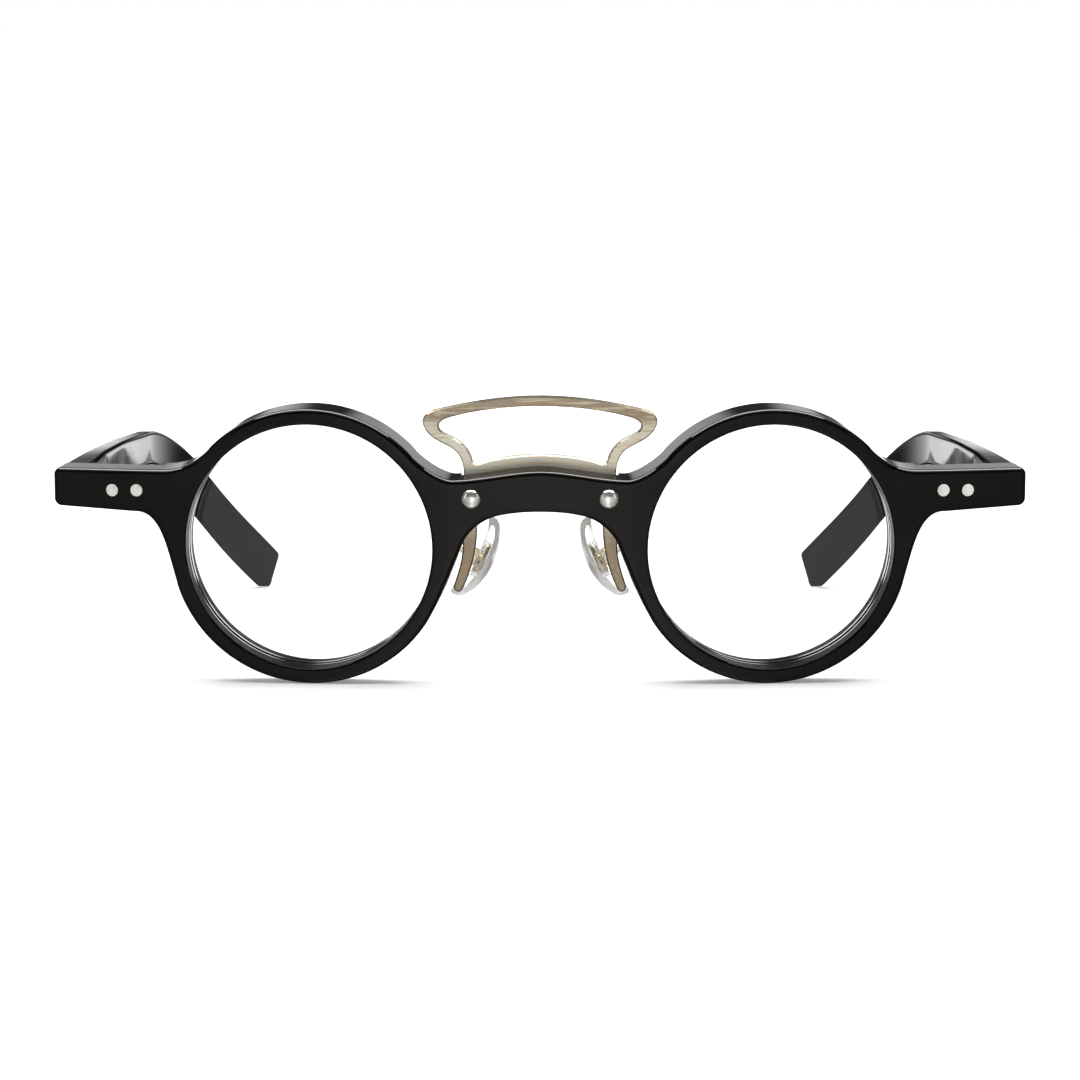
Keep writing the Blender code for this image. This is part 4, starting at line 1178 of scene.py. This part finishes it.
class EYEWEAR_OT_temples(bpy.types.Operator):
    """Cuts the acetate temples, curves them in to the head and rivets their hinges on"""

    bl_idname = "eyewear.temples"
    bl_label = "Temples"

    def execute(self, context):
        temple = flat_temple(context.scene.eyewear_sizes)
        slice_at(temple, 0, temple_slices())
        bend(temple, on_temple)
        trim_butt(temple)
        pair(temple, MATERIALS["acetate"], "temple_left", "black_acetate", "temple_left")
        leaf_end = -TEMPLE_THICK - HOLE_GAP - LEAF_THICK
        outward = Matrix.Rotation(math.pi / 2, 4, "Y")
        for place, along in TEMPLE_RIVETS.items():
            profile = flush_profile(TEMPLE_RIVET, -TEMPLE_THICK, leaf_end)
            rivet = spun(f"side_rivet_{place}_left", profile, 56)
            put(rivet, origin_shift() @ Matrix.Translation((TEMPLE_X, along, TEMPLE_RIVET_Z)) @ outward)
            pair(rivet, MATERIALS["flush"], "temple_left", "silver", f"temple_rivet_{place}_left")
        return {"FINISHED"}


# Nose pads

def make_pad():
    outline = oval_outline(PAD_LENGTH, PAD_WIDTH, 72)
    pad = sheet_outline("soft_pad_left", [outline], PAD_THICK, 0.75 * MM, 5)
    put(pad, Matrix.Translation((0, -PAD_THICK / 2, 0)))
    slice_at(pad, 2, [PAD_LENGTH * step / 30 for step in range(-14, 15)])
    bend(pad, curved_pad)
    gap = 2 * BOX_GAP
    size = (INSERT_LENGTH + gap, INSERT_WIDTH + gap)
    recess = sheet_outline("recess", [oval_outline(*size, 48)], PAD_SAG + 1 * MM, 0, 0)
    put(recess, Matrix.Translation((0, PAD_THICK / 2 - INSERT_THICK - BOX_GAP, 0)))
    return put(combine(pad, [recess]), pad_matrix())


def make_insert():
    """The plaque in the pad's recess, with the tab that the arm's clamp box holds."""
    outline = oval_outline(INSERT_LENGTH, INSERT_WIDTH, 48)
    plaque = sheet_outline("pad_plaque_left", [outline], INSERT_THICK, 0.1 * MM, 2)
    put(plaque, Matrix.Translation((0, PAD_THICK / 2 - INSERT_THICK, 0)))
    pivot = pad_pivot()
    low = (-TAB_THICK / 2, PAD_THICK / 2 - 0.2 * MM, -TAB_LENGTH / 2)
    tab = soften(block("tab", low, (TAB_THICK / 2, pivot.y + TAB_TOP, TAB_LENGTH / 2)), 0.12 * MM)
    combine(plaque, [tab], "UNION")
    bore = along_pivot(rod("bore", PAD_SCREW + 0.05 * MM, -3 * MM, 3 * MM))
    return put(combine(plaque, [bore]), pad_matrix())


def make_arm():
    """The clamp box round the tab, and the wire from it to a foot on the plate's lower leg."""
    place = pad_matrix()
    pivot = pad_pivot()
    low = pivot - Vector((BOX_WIDTH / 2, BOX_BELOW, BOX_LENGTH / 2))
    body = block("gold_arm_left", low, pivot + Vector((BOX_WIDTH / 2, BOX_ABOVE, BOX_LENGTH / 2)))
    soften(body, 0.14 * MM)
    slot_half = TAB_THICK / 2 + BOX_GAP
    slot = block("slot", (-slot_half, 0, -3 * MM), (slot_half, pivot.y + SLOT_TOP, 3 * MM))
    bore = along_pivot(rod("bore", PAD_SCREW + 0.03 * MM, -3 * MM, 3 * MM))
    put(combine(body, [slot, bore]), place)
    behind = SEAT_THICK + PLATE_GAP + PLATE_THICK + HOLE_GAP
    foot_place = front_matrix(ARM_ROOT.x, behind, ARM_ROOT.z) @ facing_back()
    edge = 0.12 * MM
    profile = [(0, 0), (FOOT_RADIUS, 0)]
    profile += round_edge(FOOT_RADIUS - edge, edge - FOOT_THICK, edge, 0, -90, 4) + [(0, -FOOT_THICK)]
    foot = put(spun("foot", profile, 40), foot_place)
    root = foot_place @ Vector((0, 0, -FOOT_THICK / 2))
    clamp = place @ (pivot + Vector((0, BOX_ABOVE - 0.1 * MM, 0)))
    out = (place.to_3x3() @ Vector((0, 1, 0))).normalized()
    route = bezier(root, root + Vector((0.3, 2.8, 0)) * MM, clamp + out * 2.4 * MM, clamp, 24)
    arm = wire("arm_wire", route + [tuple(clamp)], ARM_RADIUS)
    return combine(body, [foot, arm], "UNION")


def make_pad_screw():
    reach = BOX_WIDTH / 2 + 0.15 * MM
    edge = 0.06 * MM
    profile = [(0, reach)] + round_edge(PAD_SCREW - edge, reach - edge, edge, 90, 0, 3)
    profile += round_edge(PAD_SCREW - edge, edge - reach, edge, 0, -90, 3) + [(0, -reach)]
    screw = spun("clamp_screw_left", profile, 32)
    return put(along_pivot(slotted(screw, 0.1 * MM, 0.1 * MM, reach, 0.5)), pad_matrix())


class EYEWEAR_OT_pads(bpy.types.Operator):
    """Moulds the clear nose pads, and makes their plaques, clamp boxes, arms and screws"""

    bl_idname = "eyewear.pads"
    bl_label = "Nose pads and arms"

    def execute(self, context):
        pair(make_pad(), MATERIALS["pad"], "nose_pad_left", "clear_pad", "nose_pad_left", angle=45)
        pair(make_insert(), MATERIALS["plaque"], "nose_pad_left", "silver", "pad_insert_left")
        pair(make_arm(), MATERIALS["arm"], "front", "antique_gold", "pad_arm_left", angle=40)
        pair(make_pad_screw(), MATERIALS["silver"], "front", "silver", "pad_screw_left")
        return {"FINISHED"}


# Stage

def soft_box(name, location, target, size, power, colour=(1, 1, 1)):
    deselect()
    bpy.ops.object.light_add(type="AREA", location=location)
    light = bpy.context.view_layer.objects.active
    light.name = name
    light.data.shape = "RECTANGLE"
    light.data.size = size[0]
    light.data.size_y = size[1]
    light.data.energy = power
    light.data.color = colour
    light.visible_diffuse = False
    direction = Vector(target) - Vector(location)
    light.rotation_euler = direction.to_track_quat("-Z", "Y").to_euler()
    return light


def world_ramp(nodes, links, value, stops):
    """Reads a brightness off a smooth scale."""
    node = nodes.new("ShaderNodeValToRGB")
    node.color_ramp.interpolation = "EASE"
    while len(node.color_ramp.elements) < len(stops):
        node.color_ramp.elements.new(1.0)
    for element, (position, level) in zip(node.color_ramp.elements, stops):
        element.position = position
        element.color = (level, level, level, 1.0)
    links.new(value, node.inputs["Fac"])
    return node.outputs["Color"]


def world_maths(nodes, links, operation, first, second, third=0.0):
    node = nodes.new("ShaderNodeMath")
    node.operation = operation
    for socket, value in zip(node.inputs, (first, second, third)):
        if isinstance(value, (int, float)):
            socket.default_value = value
        else:
            links.new(value, socket)
    return node.outputs[0]


# Brightness of the card and the tent, as (place, level) across the view and up it
CARD_LIGHT = 1.35
CARD_ACROSS = ((0.0, 1.0), (0.17, 0.9), (0.25, 0.4), (0.5, 0.34), (0.85, 0.1))
CARD_UP = ((0.01, 0.7), (0.22, 0.7), (0.28, 1.0), (0.47, 1.0), (0.53, 0.0))
TENT_LIGHT = 1.8
TENT_ACROSS = ((0.04, 0.05), (0.12, 0.8), (0.22, 1.0), (0.5, 0.9), (0.8, 0.1))
TENT_UP = ((0.25, 0.0), (0.36, 1.0), (0.51, 1.0), (0.53, 0.08), (0.555, 0.08), (0.59, 0.62), (1.0, 0.6))


def studio_world():
    """A white tent behind the glasses, and a white card low in front of them with black round it."""
    world = bpy.data.worlds.new("studio")
    bpy.context.scene.world = world
    world.use_nodes = True
    nodes = world.node_tree.nodes
    links = world.node_tree.links
    background = nodes["Background"]
    place = nodes.new("ShaderNodeTexCoord")
    split = nodes.new("ShaderNodeSeparateXYZ")
    links.new(place.outputs["Generated"], split.inputs["Vector"])
    across = world_maths(nodes, links, "ABSOLUTE", split.outputs["X"], 0.0)
    up = world_maths(nodes, links, "MULTIPLY_ADD", split.outputs["Z"], 0.5, 0.5)
    behind = world_maths(nodes, links, "MULTIPLY_ADD", split.outputs["Y"], 0.5, 0.5)
    card_width = world_ramp(nodes, links, across, CARD_ACROSS)
    card_height = world_ramp(nodes, links, up, CARD_UP)
    in_front = world_ramp(nodes, links, behind, [(0.45, 1.0), (0.56, 0.0)])
    tent_width = world_ramp(nodes, links, across, TENT_ACROSS)
    tent_height = world_ramp(nodes, links, up, TENT_UP)
    tent_side = world_ramp(nodes, links, behind, [(0.44, 0.02), (0.56, 1.0)])
    card = world_maths(nodes, links, "MULTIPLY", card_width, card_height)
    card = world_maths(nodes, links, "MULTIPLY", card, in_front)
    card = world_maths(nodes, links, "MULTIPLY", card, CARD_LIGHT)
    tent = world_maths(nodes, links, "MULTIPLY", tent_width, tent_height)
    tent = world_maths(nodes, links, "MULTIPLY", tent, tent_side)
    light = world_maths(nodes, links, "MULTIPLY_ADD", tent, TENT_LIGHT, card)
    seen = nodes.new("ShaderNodeLightPath")
    mixer = nodes.new("ShaderNodeMix")
    mixer.data_type = "RGBA"
    mixer.inputs[7].default_value = (1.0, 1.0, 1.0, 1.0)
    links.new(seen.outputs["Is Camera Ray"], mixer.inputs["Factor"])
    links.new(light, mixer.inputs[6])
    links.new(mixer.outputs[2], background.inputs["Color"])
    background.inputs["Strength"].default_value = 1.0


class EYEWEAR_OT_stage(bpy.types.Operator):
    """Sets the pale table, the soft light and the camera"""

    bl_idname = "eyewear.stage"
    bl_label = "Stage"

    def execute(self, context):
        deselect()
        bpy.ops.mesh.primitive_grid_add(
            x_subdivisions=8, y_subdivisions=8, size=6, location=(0, 1.5, -0.02 * MM)
        )
        floor = settle(named("table"))
        coat(floor, MATERIALS["floor"])
        floor.visible_glossy = False
        studio_world()
        soft_box("overhead strip", (0, -0.02, 0.9), (0, -0.02, 0), (1.2, 0.4), 42)
        soft_box("front strip", (0, -0.62, 0.95), (0, -0.05, 0.02), (1.1, 0.2), 2)
        soft_box("left strip", (0.78, -0.68, 0.2), (0, -0.05, 0.02), (0.2, 0.6), 0.5)
        soft_box("right strip", (-0.78, -0.68, 0.2), (0, -0.05, 0.02), (0.2, 0.6), 0.5)
        deselect()
        bpy.ops.object.light_add(type="SUN", location=(0, 0.5, 1.5))
        sky = bpy.context.view_layer.objects.active
        sky.name = "high ceiling light"
        sky.data.energy = 3.8
        sky.data.angle = math.radians(70)
        sky.visible_glossy = False
        deselect()
        bpy.ops.object.camera_add(
            location=CAMERA_PLACE, rotation=(math.radians(90 - CAMERA_DIP), 0, 0)
        )
        camera = bpy.context.view_layer.objects.active
        camera.data.lens = CAMERA_LENS
        camera.data.sensor_width = 36
        camera.data.clip_start = 0.01
        context.scene.camera = camera
        context.scene.view_settings.view_transform = "Standard"
        context.scene.view_settings.look = "None"
        return {"FINISHED"}


class EYEWEAR_PT_panel(bpy.types.Panel):
    """Lists the pieces in the sidebar"""

    bl_idname = "EYEWEAR_PT_panel"
    bl_label = "Eyeglasses"
    bl_space_type = "VIEW_3D"
    bl_region_type = "UI"
    bl_category = "Eyeglasses"

    def draw(self, context):
        layout = self.layout
        for group in (context.scene.eyewear_look, context.scene.eyewear_sizes):
            for name in group.bl_rna.properties.keys():
                if name not in ("rna_type", "name"):
                    layout.prop(group, name)
        for operator in OPERATORS:
            layout.operator(operator.bl_idname)


OPERATORS = (
    EYEWEAR_OT_front,
    EYEWEAR_OT_lenses,
    EYEWEAR_OT_plate,
    EYEWEAR_OT_studs,
    EYEWEAR_OT_hinges,
    EYEWEAR_OT_temples,
    EYEWEAR_OT_pads,
    EYEWEAR_OT_stage,
)
CLASSES = (LookSettings, SizeSettings, *OPERATORS, EYEWEAR_PT_panel)
MATERIALS = {}


def register():
    for cls in CLASSES:
        bpy.utils.register_class(cls)
    bpy.types.Scene.eyewear_look = PointerProperty(type=LookSettings)
    bpy.types.Scene.eyewear_sizes = PointerProperty(type=SizeSettings)


def unregister():
    del bpy.types.Scene.eyewear_look
    del bpy.types.Scene.eyewear_sizes
    for cls in reversed(CLASSES):
        bpy.utils.unregister_class(cls)


def make_materials(look):
    silver = tuple(look.silver)
    steel = tuple(look.steel)
    gold = tuple(look.gold)
    MATERIALS["acetate"] = acetate_finish(look)
    MATERIALS["cut wall"] = wall_finish(look)
    MATERIALS["lens"] = lens_finish(look)
    MATERIALS["pad"] = pad_finish(look)
    MATERIALS["floor"] = floor_finish(look)
    MATERIALS["gold"] = plate_finish(look)
    dim = tuple(channel * 0.8 for channel in silver)
    MATERIALS["silver"] = metal_finish("polished rivet metal", silver, dim, 0.16, (1, 1, 1), 0.04, 0.8)
    MATERIALS["flush"] = metal_finish("satin rivet metal", silver, dim, 0.34, (1, 1, 1), 0.06, 0.4)
    deep = tuple(channel * 0.6 for channel in gold)
    MATERIALS["plaque"] = metal_finish("brushed plaque", gold, deep, 0.26, (1, 0.1, 1))
    MATERIALS["arm"] = metal_finish("cast gold", gold, deep, 0.24, (1, 1, 1), 0.08)
    shaded = tuple(channel * 0.55 for channel in steel)
    MATERIALS["steel"] = metal_finish("brushed hinge metal", steel, shaded, 0.28, (0.15, 0.15, 1))
    MATERIALS["screw"] = metal_finish("turned screw", silver, shaded, 0.22, (1, 1, 0.2), 0.08)
    MATERIALS["core"] = metal_finish("drawn core wire", steel, shaded, 0.35, (1, 0.05, 1))


def main():
    register()
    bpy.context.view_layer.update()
    make_materials(bpy.context.scene.eyewear_look)
    for operator in OPERATORS:
        group, name = operator.bl_idname.split(".")
        getattr(getattr(bpy.ops, group), name)()
    bpy.context.view_layer.update()


if __name__ == "__main__":
    main()
